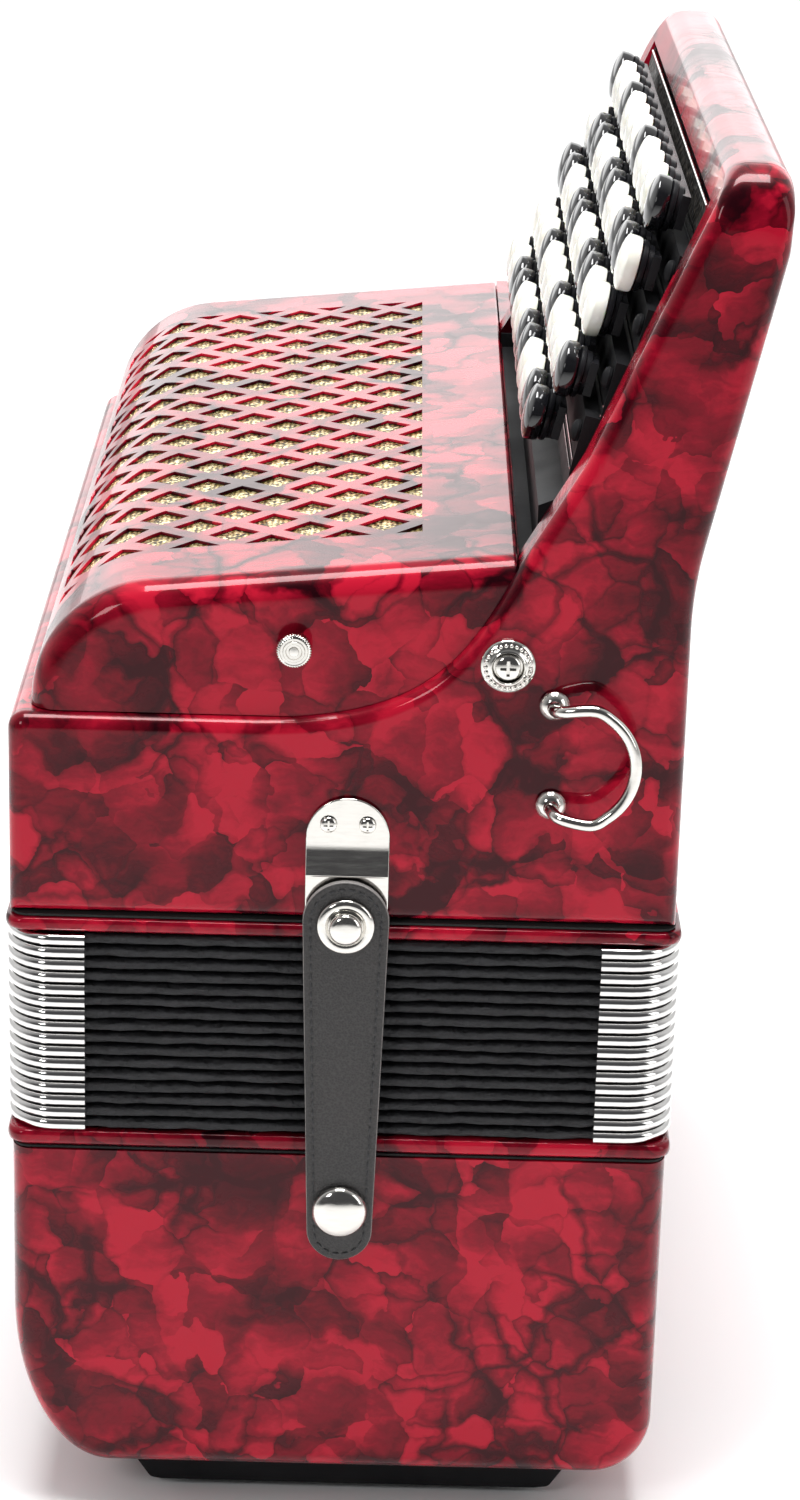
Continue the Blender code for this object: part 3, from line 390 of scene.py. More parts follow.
# ---- materials ------------------------------------------------------------------------------
class Look:
    """A material under construction, with short calls for its nodes."""

    def __init__(self, name, roughness, metallic=0.0, **sockets):
        self.material = bpy.data.materials.new(name)
        self.material.use_nodes = True
        self.tree = self.material.node_tree
        self.shader = self.tree.nodes["Principled BSDF"]
        self.shader.inputs["Roughness"].default_value = roughness
        self.shader.inputs["Metallic"].default_value = metallic
        for socket, value in sockets.items():
            self.shader.inputs[socket.replace("_", " ")].default_value = value
        self.place = self.add("ShaderNodeTexCoord").outputs["Object"]

    def add(self, kind, inputs=(), **settings):
        node = self.tree.nodes.new(kind)
        for name, value in settings.items():
            setattr(node, name, value)
        for key, value in dict(inputs).items():
            if isinstance(value, bpy.types.NodeSocket):
                self.tree.links.new(value, node.inputs[key])
            else:
                node.inputs[key].default_value = value
        return node

    def maths(self, operation, a, b=0.0, c=0.0):
        return self.add("ShaderNodeMath", {0: a, 1: b, 2: c}, operation=operation).outputs[0]

    def vector(self, operation, a, b, scale=None):
        inputs = {0: a, 1: b}
        if scale is not None:
            inputs["Scale"] = scale
        node = self.add("ShaderNodeVectorMath", inputs, operation=operation)
        return node.outputs["Value" if operation in ("DOT_PRODUCT", "LENGTH") else "Vector"]

    def scaled(self, amounts):
        return self.vector("MULTIPLY", self.place, amounts)

    def noise(self, scale, detail=2.0, place=None, roughness=0.5, output="Fac"):
        inputs = {"Vector": place or self.place, "Scale": scale, "Detail": detail, "Roughness": roughness}
        return self.add("ShaderNodeTexNoise", inputs).outputs[output]

    def cells(self, scale, place=None, feature="F1"):
        inputs = {"Vector": place or self.place, "Scale": scale}
        return self.add("ShaderNodeTexVoronoi", inputs, feature=feature)

    def waves(self, scale, place=None, distortion=0.0, detail=2.0, kind="BANDS"):
        inputs = {"Vector": place or self.place, "Scale": scale, "Distortion": distortion, "Detail": detail}
        return self.add("ShaderNodeTexWave", inputs, wave_type=kind).outputs["Fac"]

    def ramp(self, value, stops):
        node = self.add("ShaderNodeValToRGB", {"Fac": value})
        elements = node.color_ramp.elements
        while len(elements) < len(stops):
            elements.new(0.5)
        for element, (at, colour) in zip(elements, stops):
            element.position = at
            element.color = (*colour, 1.0)
        return node.outputs["Color"]

    def between(self, value, low, high, from_low=0.0, from_high=1.0):
        inputs = {"Value": value, "From Min": from_low, "From Max": from_high, "To Min": low, "To Max": high}
        return self.add("ShaderNodeMapRange", inputs).outputs["Result"]

    def colour(self, socket):
        self.tree.links.new(socket, self.shader.inputs["Base Color"])

    def rough(self, socket):
        self.tree.links.new(socket, self.shader.inputs["Roughness"])

    def bump(self, height, strength, distance):
        inputs = {"Height": height, "Strength": strength, "Distance": distance}
        bump = self.add("ShaderNodeBump", inputs)
        self.tree.links.new(bump.outputs["Normal"], self.shader.inputs["Normal"])


def pearl_red():
    """Marbled celluloid: soft crumpled flakes in several reds, with dark folds and fine streaks."""
    look = Look("pearl_red", 0.26, Coat_Weight=0.35, Coat_Roughness=0.02, Specular_IOR_Level=0.35)
    look.shader.inputs["Specular Tint"].default_value = (0.80, 0.06, 0.09, 1.0)
    place = look.place
    for scale, shift in ((26, 0.024), (120, 0.0055)):
        drift = look.noise(scale, 3, roughness=0.6, output="Color")
        drift = look.vector("SUBTRACT", drift, (0.5, 0.5, 0.5))
        place = look.vector("ADD", place, look.vector("SCALE", drift, (0, 0, 0), scale=shift))
    sheen = look.maths("MULTIPLY_ADD", look.noise(18, 3, place), 0.9, -0.17)
    folds = 0.0
    for scale, level_share, slope_share, fold_share in ((38, 0.34, 0.24, 1.0), (76, 0.22, 0.30, 0.5)):
        plates = look.cells(scale, place, "SMOOTH_F1")
        plates.inputs["Smoothness"].default_value = 0.45
        level = look.vector("DOT_PRODUCT", plates.outputs["Color"], (1.0, 0.6, -0.6))
        sheen = look.maths("MULTIPLY_ADD", level, level_share, sheen)
        flakes = look.cells(scale, place)
        lean = look.vector("SUBTRACT", flakes.outputs["Color"], (0.5, 0.5, 0.5))
        across = look.vector("SUBTRACT", place, flakes.outputs["Position"])
        slope = look.vector("DOT_PRODUCT", across, lean)
        sheen = look.maths("MULTIPLY_ADD", slope, slope_share * scale * 2.0, sheen)
        edge = look.cells(scale, place, "DISTANCE_TO_EDGE").outputs["Distance"]
        crease = look.between(edge, 0.80, 0.0, 0.0, 0.075)
        folds = look.maths("MULTIPLY_ADD", crease, fold_share, folds)
    patchy = look.between(look.noise(34, 2), 0.0, 0.42, 0.42, 0.62)
    sheen = look.maths("SUBTRACT", sheen, look.maths("MULTIPLY", folds, patchy))
    streaks = look.noise(130, 5, look.vector("MULTIPLY", place, (0.5, 2.4, 1.7)), 0.65)
    sheen = look.maths("MULTIPLY_ADD", streaks, 0.55, sheen)
    stops = [(0.32, (0.010, 0.0005, 0.002)), (0.48, (0.040, 0.0009, 0.004))]
    stops += [(0.62, (0.110, 0.0015, 0.007)), (0.78, (0.205, 0.0025, 0.013)), (1.0, (0.420, 0.008, 0.026))]
    look.colour(look.ramp(sheen, stops))
    look.rough(look.between(sheen, 0.34, 0.20))
    return look.material


def plated(name, tint, low, high):
    """Polished plating with faint handling marks."""
    look = Look(name, 0.1, metallic=1.0)
    marks = look.noise(160, 6, look.scaled((1, 1, 6)), 0.7)
    darker = tuple(0.86 * c for c in tint)
    look.colour(look.ramp(marks, [(0.30, darker), (0.65, tint)]))
    look.rough(look.between(marks, low, high, 0.3, 0.8))
    look.bump(look.noise(900, 2), 0.04, 0.0002)
    return look.material


def leather(name, dark, light, grain):
    """Grained leather: fine pebbles with darker valleys."""
    look = Look(name, 0.5, Specular_IOR_Level=0.45)
    pebbles = look.cells(grain).outputs["Distance"]
    cloudy = look.noise(60, 4)
    mixed = look.maths("MULTIPLY_ADD", cloudy, 0.6, look.maths("MULTIPLY", pebbles, 0.5))
    look.colour(look.ramp(mixed, [(0.25, dark), (0.75, light)]))
    look.rough(look.between(cloudy, 0.38, 0.58, 0.3, 0.7))
    look.bump(look.maths("MULTIPLY_ADD", look.noise(grain * 1.7, 3), 0.5, pebbles), 0.35, 0.0003)
    return look.material


def leathercloth():
    """Crinkled black covering of the bellows folds."""
    look = Look("bellows_cloth", 0.5, Specular_IOR_Level=0.35)
    creases = look.noise(380, 6, look.scaled((1, 1, 1.5)), 0.62)
    pebbles = look.cells(620, feature="SMOOTH_F1").outputs["Distance"]
    height = look.maths("MULTIPLY_ADD", pebbles, 0.4, creases)
    look.colour(look.ramp(creases, [(0.30, (0.005, 0.005, 0.006)), (0.72, (0.026, 0.026, 0.029))]))
    look.rough(look.between(creases, 0.34, 0.60, 0.3, 0.7))
    look.bump(height, 0.9, 0.0014)
    return look.material


def polished_black(name, scale, detail, dark, light, low, high, **sockets):
    """Polished black with a faint haze."""
    look = Look(name, low, **sockets)
    haze = look.noise(scale, detail)
    look.colour(look.ramp(haze, [(0.35, dark), (0.70, light)]))
    look.rough(look.between(haze, low, high, 0.3, 0.7))
    return look.material


def crackle_black():
    """Rough-cast black panel with warm glints."""
    look = Look("crackle_black", 0.5, Specular_IOR_Level=0.6)
    grit = look.cells(420).outputs["Distance"]
    speck = look.maths("POWER", look.noise(700, 3, roughness=0.6), 3.0)
    stops = [(0.10, (0.008, 0.007, 0.006)), (0.24, (0.030, 0.024, 0.018)), (0.40, (0.24, 0.18, 0.12))]
    look.colour(look.ramp(speck, stops))
    look.rough(look.between(grit, 0.25, 0.65, 0.0, 0.6))
    look.bump(grit, 0.8, 0.0012)
    return look.material


def moulded_black():
    look = Look("black_moulding", 0.5, Specular_IOR_Level=0.08)
    grain = look.noise(1500, 3)
    cloudy = look.noise(35, 4)
    look.colour(look.ramp(cloudy, [(0.3, (0.005, 0.005, 0.006)), (0.7, (0.013, 0.013, 0.014))]))
    look.rough(look.between(cloudy, 0.40, 0.60, 0.3, 0.7))
    look.bump(grain, 0.3, 0.0002)
    return look.material


def ivory():
    """Cast button caps: cream white, a little warmer towards the core."""
    look = Look("button_ivory", 0.22, Coat_Weight=0.7, Coat_Roughness=0.04, Subsurface_Weight=0.15)
    look.shader.inputs["Subsurface Radius"].default_value = (0.004, 0.003, 0.002)
    look.shader.inputs["Subsurface Scale"].default_value = 0.5
    cloudy = look.noise(120, 3)
    look.colour(look.ramp(cloudy, [(0.30, (0.78, 0.77, 0.66)), (0.62, (0.86, 0.86, 0.80))]))
    look.rough(look.between(cloudy, 0.16, 0.28, 0.3, 0.7))
    return look.material


def glitter_cloth():
    """Open weave with gold foil threads: bright flecks on a dark ground."""
    look = Look("gold_cloth", 0.35, metallic=0.75)
    flecks = look.cells(1100)
    level = look.vector("DOT_PRODUCT", flecks.outputs["Color"], (0.6, 0.4, 0.3))
    weave = look.waves(210.0, distortion=3.0)
    bright = look.maths("MULTIPLY_ADD", weave, 0.25, level)
    stops = [(0.42, (0.020, 0.013, 0.005)), (0.64, (0.13, 0.085, 0.022)), (0.84, (0.46, 0.34, 0.10))]
    stops += [(1.00, (0.95, 0.82, 0.45))]
    look.colour(look.ramp(bright, stops))
    look.rough(look.between(level, 0.5, 0.2))
    look.bump(level, 0.7, 0.0006)
    return look.material


def wood():
    look = Look("wood", 0.6)
    rings = look.waves(6.0, look.scaled((9, 0.6, 9)), 5.0, 3.0, "RINGS")
    look.colour(look.ramp(rings, [(0.1, (0.36, 0.20, 0.09)), (0.9, (0.62, 0.42, 0.22))]))
    look.bump(rings, 0.2, 0.0003)
    return look.material


def felt():
    look = Look("felt", 0.95)
    fuzz = look.noise(2400, 4)
    look.colour(look.ramp(fuzz, [(0.3, (0.006, 0.006, 0.006)), (0.8, (0.03, 0.03, 0.03))]))
    look.bump(fuzz, 0.6, 0.0003)
    return look.material


def thread():
    look = Look("thread", 0.55)
    twist = look.waves(900.0)
    look.colour(look.ramp(twist, [(0.2, (0.012, 0.012, 0.013)), (0.8, (0.045, 0.045, 0.048))]))
    look.bump(twist, 0.5, 0.0002)
    return look.material


RED = pearl_red()
CHROME = plated("chrome", (0.76, 0.75, 0.74), 0.06, 0.14)
NICKEL = plated("nickel", (0.72, 0.70, 0.66), 0.07, 0.18)
BLACK = polished_black(
    "black_gloss", 140, 5, (0.004, 0.004, 0.005), (0.012, 0.012, 0.014), 0.22, 0.38, Specular_IOR_Level=0.18
)
MIRROR_BLACK = polished_black(
    "black_caps", 90, 4, (0.003, 0.003, 0.004), (0.009, 0.009, 0.011), 0.03, 0.09,
    Specular_IOR_Level=0.5, Coat_Weight=0.5, Coat_Roughness=0.02
)
CRACKLE = crackle_black()
MOULDING = moulded_black()
LEATHER = leather("leather", (0.013, 0.012, 0.012), (0.040, 0.037, 0.036), 1700)
# Much lighter leather for the strap's cut edges: a painted highlight standing in for the light those edges
# catch.
LEATHER_EDGE_HIGHLIGHT = leather("leather_edge_painted_highlight", (0.16, 0.15, 0.145), (0.30, 0.28, 0.27), 2600)
CLOTH = leathercloth()
IVORY = ivory()
GOLD = glitter_cloth()
WOOD = wood()
FELT = felt()
THREAD = thread()


# ---- cases ----------------------------------------------------------------------------------
def bass_outline(amount, top):
    """Section of the bass case: a wide round front edge and a tighter one at the player's side."""
    half = HALF_X - amount
    bottom = BASS_LOW.z + amount
    front = (0.027 - amount, 0.050 - amount)
    player = (0.0170 - amount, 0.0180 - amount)
    points = [Vector((-half, top))]
    points += arc((-half + front[0], bottom + front[1]), front, 180, 270, 26)
    points += arc((half - player[0], bottom + player[1]), player, 270, 360, 16)
    points.append(Vector((half, top)))
    return points


def bass_case():
    tall = BASS_HIGH.z + 0.012
    shell = rounded_prism(lambda amount: bass_outline(amount, tall), -HALF_Y, HALF_Y, 0.006, 0.006, 7)
    top_cut = block((-0.2, -0.3, BASS_HIGH.z), (0.2, 0.3, tall + 0.01))
    hollow = rounded_prism(bass_outline(WALL, tall), -HALF_Y + WALL, HALF_Y - WALL)
    shell = boolean(shell, "DIFFERENCE", top_cut, hollow, button_window(), air_hole())
    piece("bass_case_skin", shell, [RED], "bass_side", ["bass_case"])


def button_window():
    """Cutter for the opening round the bass buttons."""
    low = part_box("bass_button_row_1")[0]
    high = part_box("bass_button_row_4")[1]
    margin = Vector((0.0031, 0.0030, 0))
    low = low - margin - Vector((MID_X, 0, 0))
    high = high + margin - Vector((MID_X, 0, 0))
    return block((low.x, low.y, 0.0), (high.x, high.y, 0.03))


def air_hole():
    """Cutter for the hole of the air button."""
    return upright([(0, 0.0), (0.0056, 0.0), (0.0056, 0.04), (0, 0.04)], "air_button", 40)


def ogee():
    """The curve of the lip, from the shoulder up to the foot of the cheek's front edge."""
    pull_start = LIP_START + Vector((0.052, -0.001))
    pull_end = CHEEK_FOOT - Vector((0.0125, 0.0245))
    points = []
    steps = 24
    for k in range(steps + 1):
        t = k / steps
        points.append((1 - t)**3 * LIP_START + 3 * (1 - t)**2 * t * pull_start
                      + 3 * (1 - t) * t**2 * pull_end + t**3 * CHEEK_FOOT)
    return points


def nose_and_back(bottom, drop=0.0):
    """From the knee of the front edge over the nose, lowered by drop, and down the player's side."""
    slide = (NOSE_FRONT.x - KNEE.x) / (NOSE_FRONT.y - KNEE.y)
    top = NOSE_TOP - drop
    blade = NOSE_BACK + 0.0006
    shoulder_z = min(NOSE_TOP - 0.0215, top - 0.0105)
    corners = [(CHEEK_FOOT.x, CHEEK_FOOT.y, 0), (KNEE.x, KNEE.y, 0.05)]
    corners += [(NOSE_FRONT.x - slide * drop, top, 0.0065), (blade - 0.04 * drop, top, 0.0075)]
    corners += [(blade - 0.0010, shoulder_z, 0.022), (BACK_X, WAIST_Z, 0.11)]
    corners += [(BACK_X, bottom, 0), (CHEEK_FOOT.x, bottom, 0)]
    return fillet(corners, 9)[1:-1]


def near_outline(drop=0.0):
    """Section of the near end: low shoulder under the cover, lip, and the keyboard's cheek."""
    rim = fillet([(-HALF_X, TREBLE_LOW.z, 0), (-HALF_X, SHOULDER, RIM_RADIUS), (0.0, SHOULDER, 0)], 6)[:-1]
    return rim + ogee() + nose_and_back(TREBLE_LOW.z, drop)


def keyboard_outline(drop=0.0):
    """Section of the keyboard block, a hair inside the lip's own section so that they join cleanly."""
    low = TREBLE_LOW.z + 0.0001
    outline = [Vector((CHEEK_FOOT.x, low)), CHEEK_FOOT.copy()] + nose_and_back(low, drop)
    return inset(outline, 0.0001)


def pocket_outline():
    """Keyboard recess: open at the sloping front, with an even wall behind."""
    front = CHEEK_FOOT.x + 0.0005
    low = SHOULDER - 0.012
    back = [(NOSE_BACK - 0.0075, RECESS_TOP.y, 0.002), (NOSE_BACK - 0.0085, 0.3650, 0.02)]
    back += [(BACK_X - WALL, 0.2850, 0.05)]
    corners = [(front, low, 0), (front, CHEEK_FOOT.y - 0.004, 0), (0.0170, 0.290, 0)]
    corners += [(RECESS_TOP.x - 0.03, NOSE_TOP + 0.0023, 0), (*RECESS_TOP, 0)]
    corners += [*back, (BACK_X - WALL, low, 0)]
    return fillet(corners, 6)


def near_lip():
    near = -HALF_Y
    rings = nosed_rings(near_outline, near, 1, LIP_EDGE, NEAR_NOSE_RADIUS, CHEEK - 0.001)
    rings.append([(p.x, near + CHEEK, p.y) for p in inset(near_outline(), 0.0008)])
    return loft(rings)


def lower_box():
    back = BACK_X - 0.0003
    section = [(-HALF_X, TREBLE_LOW.z, 0), (-HALF_X, SHOULDER, RIM_RADIUS), (back, SHOULDER, 0)]
    section.append((back, TREBLE_LOW.z, 0))
    return rounded_prism(fillet(section, 6), -HALF_Y + 0.008, HALF_Y, 0.0, 0.0040, 6)


def keyboard_block():
    """The part behind the cheek that carries the buttons, with its recess cut out."""
    start = -HALF_Y + CHEEK - 0.0035
    rings = [[(p.x, start, p.y) for p in keyboard_outline()]]
    rings += nosed_rings(keyboard_outline, KEYBOARD_FAR, -1, 0.0030, FAR_NOSE_RADIUS, 0.05)[::-1]
    pocket = rounded_prism(pocket_outline(), -HALF_Y + CHEEK, KEYBOARD_FAR - CHEEK)
    return boolean(loft(rings), "DIFFERENCE", pocket)


def far_end():
    """Lip at the far end and the flat deck beyond the keyboard, a hair apart in every plane."""
    low = TREBLE_LOW.z + 0.0004
    inner = CHEEK_FOOT.x + 0.0008
    lip = [Vector((LIP_START.x, low)), *ogee()[:-1]]
    lip += [Vector((inner, CHEEK_FOOT.y - 0.0008)), Vector((inner, low))]
    back, bevel = BACK_X - 0.0002, 0.0015
    deck = [Vector((CHEEK_FOOT.x, low)), CHEEK_FOOT.copy(), Vector((back - bevel, CHEEK_FOOT.y))]
    deck += [Vector((back, CHEEK_FOOT.y - bevel)), Vector((back, low))]
    end = HALF_Y - 0.0005
    starts = (HALF_Y - CHEEK, KEYBOARD_FAR - 0.004)
    return [rounded_prism(shape, start, end, 0.0, 0.0020, 4) for shape, start in zip((lip, deck), starts)]


def treble_openings():
    """Cutters for the cover's seat, the inside, the sound opening and the space under the keys."""
    near, far = -HALF_Y, HALF_Y
    inner_back, floor_z = BACK_X - WALL, SHOULDER - 0.012
    seat_high = (DOME_RIGHT + GAP, DOME_END + GAP, DOME_TOP + 0.05)
    return [
        block((-0.120, -DOME_END - GAP, SHOULDER), seat_high),
        block(
            (-HALF_X + WALL, near + WALL, TREBLE_LOW.z - 0.01),
            (inner_back, far - WALL, SHOULDER - 0.004),
        ),
        block((*SOUND_OPENING[0], SHOULDER - 0.02), (*SOUND_OPENING[1], SHOULDER + 0.02)),
        block((CHEEK_FOOT.x + 0.0005, near + CHEEK + 0.001, floor_z),
              (inner_back, KEYBOARD_FAR - CHEEK - 0.001, SHOULDER + 0.001)),
        block((CHEEK_FOOT.x + 0.004, KEYBOARD_FAR + 0.001, floor_z),
              (inner_back, far - WALL, CHEEK_FOOT.y - 0.004)),
    ]


def treble_case():
    case = boolean(near_lip(), "UNION", lower_box(), keyboard_block(), *far_end())
    case = boolean(case, "DIFFERENCE", *treble_openings())
    piece("treble_case_skin", case, [RED], "treble_side", ["treble_case"])


# ---- grille cover ---------------------------------------------------------------------------
def dome_top(x):
    return DOME_TOP - DOME_SLOPE * (DOME_RIGHT - x)


def dome_outline(amount=0.0, right=DOME_RIGHT):
    """Section of the cover: almost flat top, quarter-round front and a crisp right-hand edge."""
    centre = (DOME_LEFT + DOME_RADIUS, COVER_LOW.z + 0.0005)
    radius = DOME_RADIUS - amount
    edge = 0.0010
    corner = [(right, COVER_LOW.z, 0), (right, dome_top(DOME_RIGHT) - amount, edge)]
    corner.append((right - 0.02, dome_top(DOME_RIGHT - 0.02) - amount, 0))
    points = fillet(corner, 4)[:-1]
    points += arc(centre, (radius, radius), 90 + math.degrees(math.atan(DOME_SLOPE)), 180, 28)
    points.append(Vector((DOME_LEFT + amount, COVER_LOW.z)))
    return points


def dome_hollow(amount):
    """Section of the space under the cover, open towards the case."""
    section = dome_outline(DOME_SKIN + amount, DOME_RIGHT - DOME_SKIN)
    return [Vector((p.x, p.y - (0.01 if p.y < COVER_LOW.z + 0.0001 else 0))) for p in section]


def dome_shell():
    shell = rounded_prism(dome_outline, -DOME_END, DOME_END, 0.0075, 0.0075, 8)
    end = DOME_END - DOME_SKIN
    hollow = rounded_prism(dome_hollow, -end, end, 0.0065, 0.0065, 6)
    shell = boolean(shell, "DIFFERENCE", hollow, lattice_cutters())
    piece("grille_cover_skin", shell, [RED], "treble_side", ["grille_cover"])


def surface_point(along, sink=0.0):
    """Point and outward normal on the cover, by the distance along its skin from LATTICE_RIGHT."""
    slope = Vector((1, DOME_SLOPE)).normalized()
    tangent_x = DOME_LEFT + DOME_RADIUS - DOME_RADIUS * DOME_SLOPE
    straight = (LATTICE_RIGHT - tangent_x) / slope.x
    if along <= straight:
        x = LATTICE_RIGHT - along * slope.x
        normal = Vector((-slope.y, slope.x))
        return Vector((x, dome_top(x))) - normal * sink, normal
    turn = (along - straight) / DOME_RADIUS + math.atan(DOME_SLOPE)
    normal = Vector((-math.sin(turn), math.cos(turn)))
    centre = Vector((DOME_LEFT + DOME_RADIUS, COVER_LOW.z + 0.0005))
    return centre + (DOME_RADIUS - sink) * normal, normal


def clip(polygon, axis, limit, keep_below):
    """Part of a convex polygon on one side of a line."""
    sign = 1 if keep_below else -1
    kept = []
    for k, here in enumerate(polygon):
        after = polygon[(k + 1) % len(polygon)]
        inside = sign * (limit - here[axis]) >= 0
        inside_after = sign * (limit - after[axis]) >= 0
        if inside:
            kept.append(here)
        if inside != inside_after:
            share = (limit - here[axis]) / (after[axis] - here[axis])
            kept.append(tuple(here[i] + share * (after[i] - here[i]) for i in (0, 1)))
    return kept


def lattice_cutters():
    """Diamond prisms over the whole lattice field."""
    bm = bmesh.new()
    columns = round(LATTICE_LENGTH / LATTICE_STEP[0] * 2) + 1
    rows = round((LATTICE_Y[1] - LATTICE_Y[0]) / LATTICE_STEP[1] * 2) + 1
    for column in range(columns):
        for row in range(column % 2, rows, 2):
            along = column * LATTICE_STEP[0] / 2
            y = LATTICE_Y[0] + row * LATTICE_STEP[1] / 2
            hole = [(along - LATTICE_HOLE[0], y), (along, y - LATTICE_HOLE[1])]
            hole += [(along + LATTICE_HOLE[0], y), (along, y + LATTICE_HOLE[1])]
            for axis, low, high in ((0, 0.0, LATTICE_LENGTH), (1, *LATTICE_Y)):
                hole = clip(clip(hole, axis, low, False), axis, high, True)
            if len(hole) >= 3:
                merge(bm, hole_cutter(hole))
    return bm


def hole_cutter(hole):
    """Prism of one hole, at right angles to the skin and flared a little towards the outside."""
    middle_along = sum(p[0] for p in hole) / len(hole)
    middle_y = sum(p[1] for p in hole) / len(hole)
    middle, normal = surface_point(middle_along)
    tangent = Vector((-normal.y, normal.x))
    rings = []
    for depth, flare in ((-0.006, 0.0), (-0.0004, 0.0), (0.0002, 0.0004), (0.006, 0.0004)):
        ring = []
        for along, y in hole:
            away = Vector((along - middle_along, y - middle_y))
            away += away.normalized() * flare
            flat = middle + tangent * away.x + normal * depth
            ring.append((flat.x, middle_y + away.y, flat.y))
        rings.append(ring)
    return loft(rings)


def grille_cloth():
    """Foil cloth stretched just under the lattice, with a slight unevenness."""
    length = LATTICE_LENGTH + 2 * CLOTH_MARGIN
    width = LATTICE_Y[1] - LATTICE_Y[0] + 2 * CLOTH_MARGIN
    columns, rows = 60, 150
    bm = bmesh.new()
    grid = []
    for i in range(columns + 1):
        line = []
        for j in range(rows + 1):
            y = LATTICE_Y[0] - CLOTH_MARGIN + width * j / rows
            ripple = 0.00012 * noise.noise(Vector((i * 0.35, y * 180, 0)))
            along = -CLOTH_MARGIN + length * i / columns
            point, _ = surface_point(along, DOME_SKIN + 0.00018 + ripple)
            line.append(bm.verts.new((point.x, y, point.y)))
        grid.append(line)
    for first, second in zip(grid, grid[1:]):
        for j in range(rows):
            bm.faces.new([first[j], first[j + 1], second[j + 1], second[j]])
    bmesh.ops.recalc_face_normals(bm, faces=bm.faces[:])
    if bm.faces[0].normal.z < 0:
        bmesh.ops.reverse_faces(bm, faces=bm.faces[:])
    cloth = piece("grille_cloth_weave", bm, [GOLD], "treble_side", ["grille_cloth"])
    cloth.modifiers.new("thickness", "SOLIDIFY").thickness = 0.0004


# ---- keyboard -------------------------------------------------------------------------------
def row_centre(row):
    """Middle of a row's caps: XZ from the middle of the cases, and Y."""
    low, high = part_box("treble_button_row_%d" % (row + 1))
    x = low.x - MID_X + 0.0004 * -CAP_OUT.x + CAP_RADIUS * CAP_UP.x
    z = high.z - 0.0004 * CAP_OUT.y - CAP_RADIUS * CAP_UP.y
    return Vector((x, z)), 0.5 * (low.y + high.y)


def button_row(row):
    """Domed caps on black hubs, joined by the rail behind them."""
    node = "treble_button_row_%d" % (row + 1)
    middle, middle_y = row_centre(row)
    half = 0.5 * (BUTTONS - 1) * BUTTON_PITCH
    front, back, reach = CAP_OUT * 0.0062, CAP_OUT * 0.0084, CAP_UP * 0.0045
    section = [middle - front - reach, middle - front + reach, middle - back + reach, middle - back - reach]
    bm = paint(rounded_prism(section, middle_y - half - 0.006, middle_y + half + 0.006), 1)
    cap = [(0, -0.0031), (0.0069, -0.0031), (0.0072, -0.0029), (0.0074, -0.0022), (0.0075, -0.0012)]
    cap += [(0.0075, 0.0002), (0.0074, 0.0005), (0.0071, 0.0008), (0.0060, 0.0013), (0.0045, 0.0017)]
    cap += [(0.0028, 0.0020), (0, 0.0021)]
    hub = [(0, -0.0070), (0.0052, -0.0070), (0.0058, -0.0066), (0.0060, -0.0052), (0.0067, -0.0049)]
    hub += [(0.0069, -0.0044), (0.0069, -0.0036), (0.0064, -0.0032), (0, -0.0032)]
    axis = (CAP_OUT.x, 0, CAP_OUT.y)
    for k, colour in enumerate(ROW_COLOURS[row]):
        centre = (middle.x, middle_y - half + k * BUTTON_PITCH, middle.y)
        merge(bm, paint(turned(cap, 36, centre, axis), 0 if colour == "W" else 2))
        merge(bm, paint(turned(hub, 28, centre, axis), 1))
    looks = [IVORY, BLACK, MIRROR_BLACK]
    piece(node + "_caps", bm, looks, "treble_row_%d" % (row + 1), [node], 40)


def treads():
    """Lower and upper edge of the bed's step behind each row."""
    first, _ = row_centre(0)
    half = 0.5 * (row_centre(1)[0] - first).dot(CAP_UP)
    middles = [row_centre(row)[0] - CAP_OUT * BED_DEPTH for row in range(len(ROW_COLOURS))]
    steps = [(middle - CAP_UP * half, middle + CAP_UP * half) for middle in middles]
    steps[-1] = (steps[-1][0], steps[-1][1] - CAP_UP * BED_TOP_CUT)
    return steps


def key_bed():
    """Stepped black bed behind the caps, with a shelf below and a stop at the shelf's far end."""
    front, riser, shelf, low = 0.0440, 0.0485, 0.2785, 0.2600
    outline = [Vector((front, low)), Vector((front, shelf)), Vector((riser, shelf))]
    outline += [Vector((riser, 0.2965)), Vector((0.0552, 0.2992))]
    for step in treads():
        outline += step
    outline.append(outline[-1] + Vector((0.0060, -0.0030)))
    outline += [Vector((0.0700, 0.2990)), Vector((0.0640, low))]
    bed = rounded_prism(outline, BED_NEAR, BED_FAR)
    stop_high = (riser + 0.0001, BED_FAR - 0.0001, CHEEK_FOOT.y - 0.0005)
    merge(bed, block((front, BED_FAR - 0.0007, shelf - 0.0001), stop_high))
    piece("key_bed_steps", bed, [MOULDING], "treble_side", ["key_bed"])


def on_bed(corner, rise, tall, proud):
    """Thin bar along the bed: its lower edge lies at a rise above the corner of a step."""
    at = corner + CAP_OUT * 0.0001 + CAP_UP * rise
    section = [at, at + CAP_UP * tall, at + CAP_UP * tall + CAP_OUT * proud, at + CAP_OUT * proud]
    return rounded_prism(section, BED_NEAR + 0.0005, BED_FAR - 0.0005)


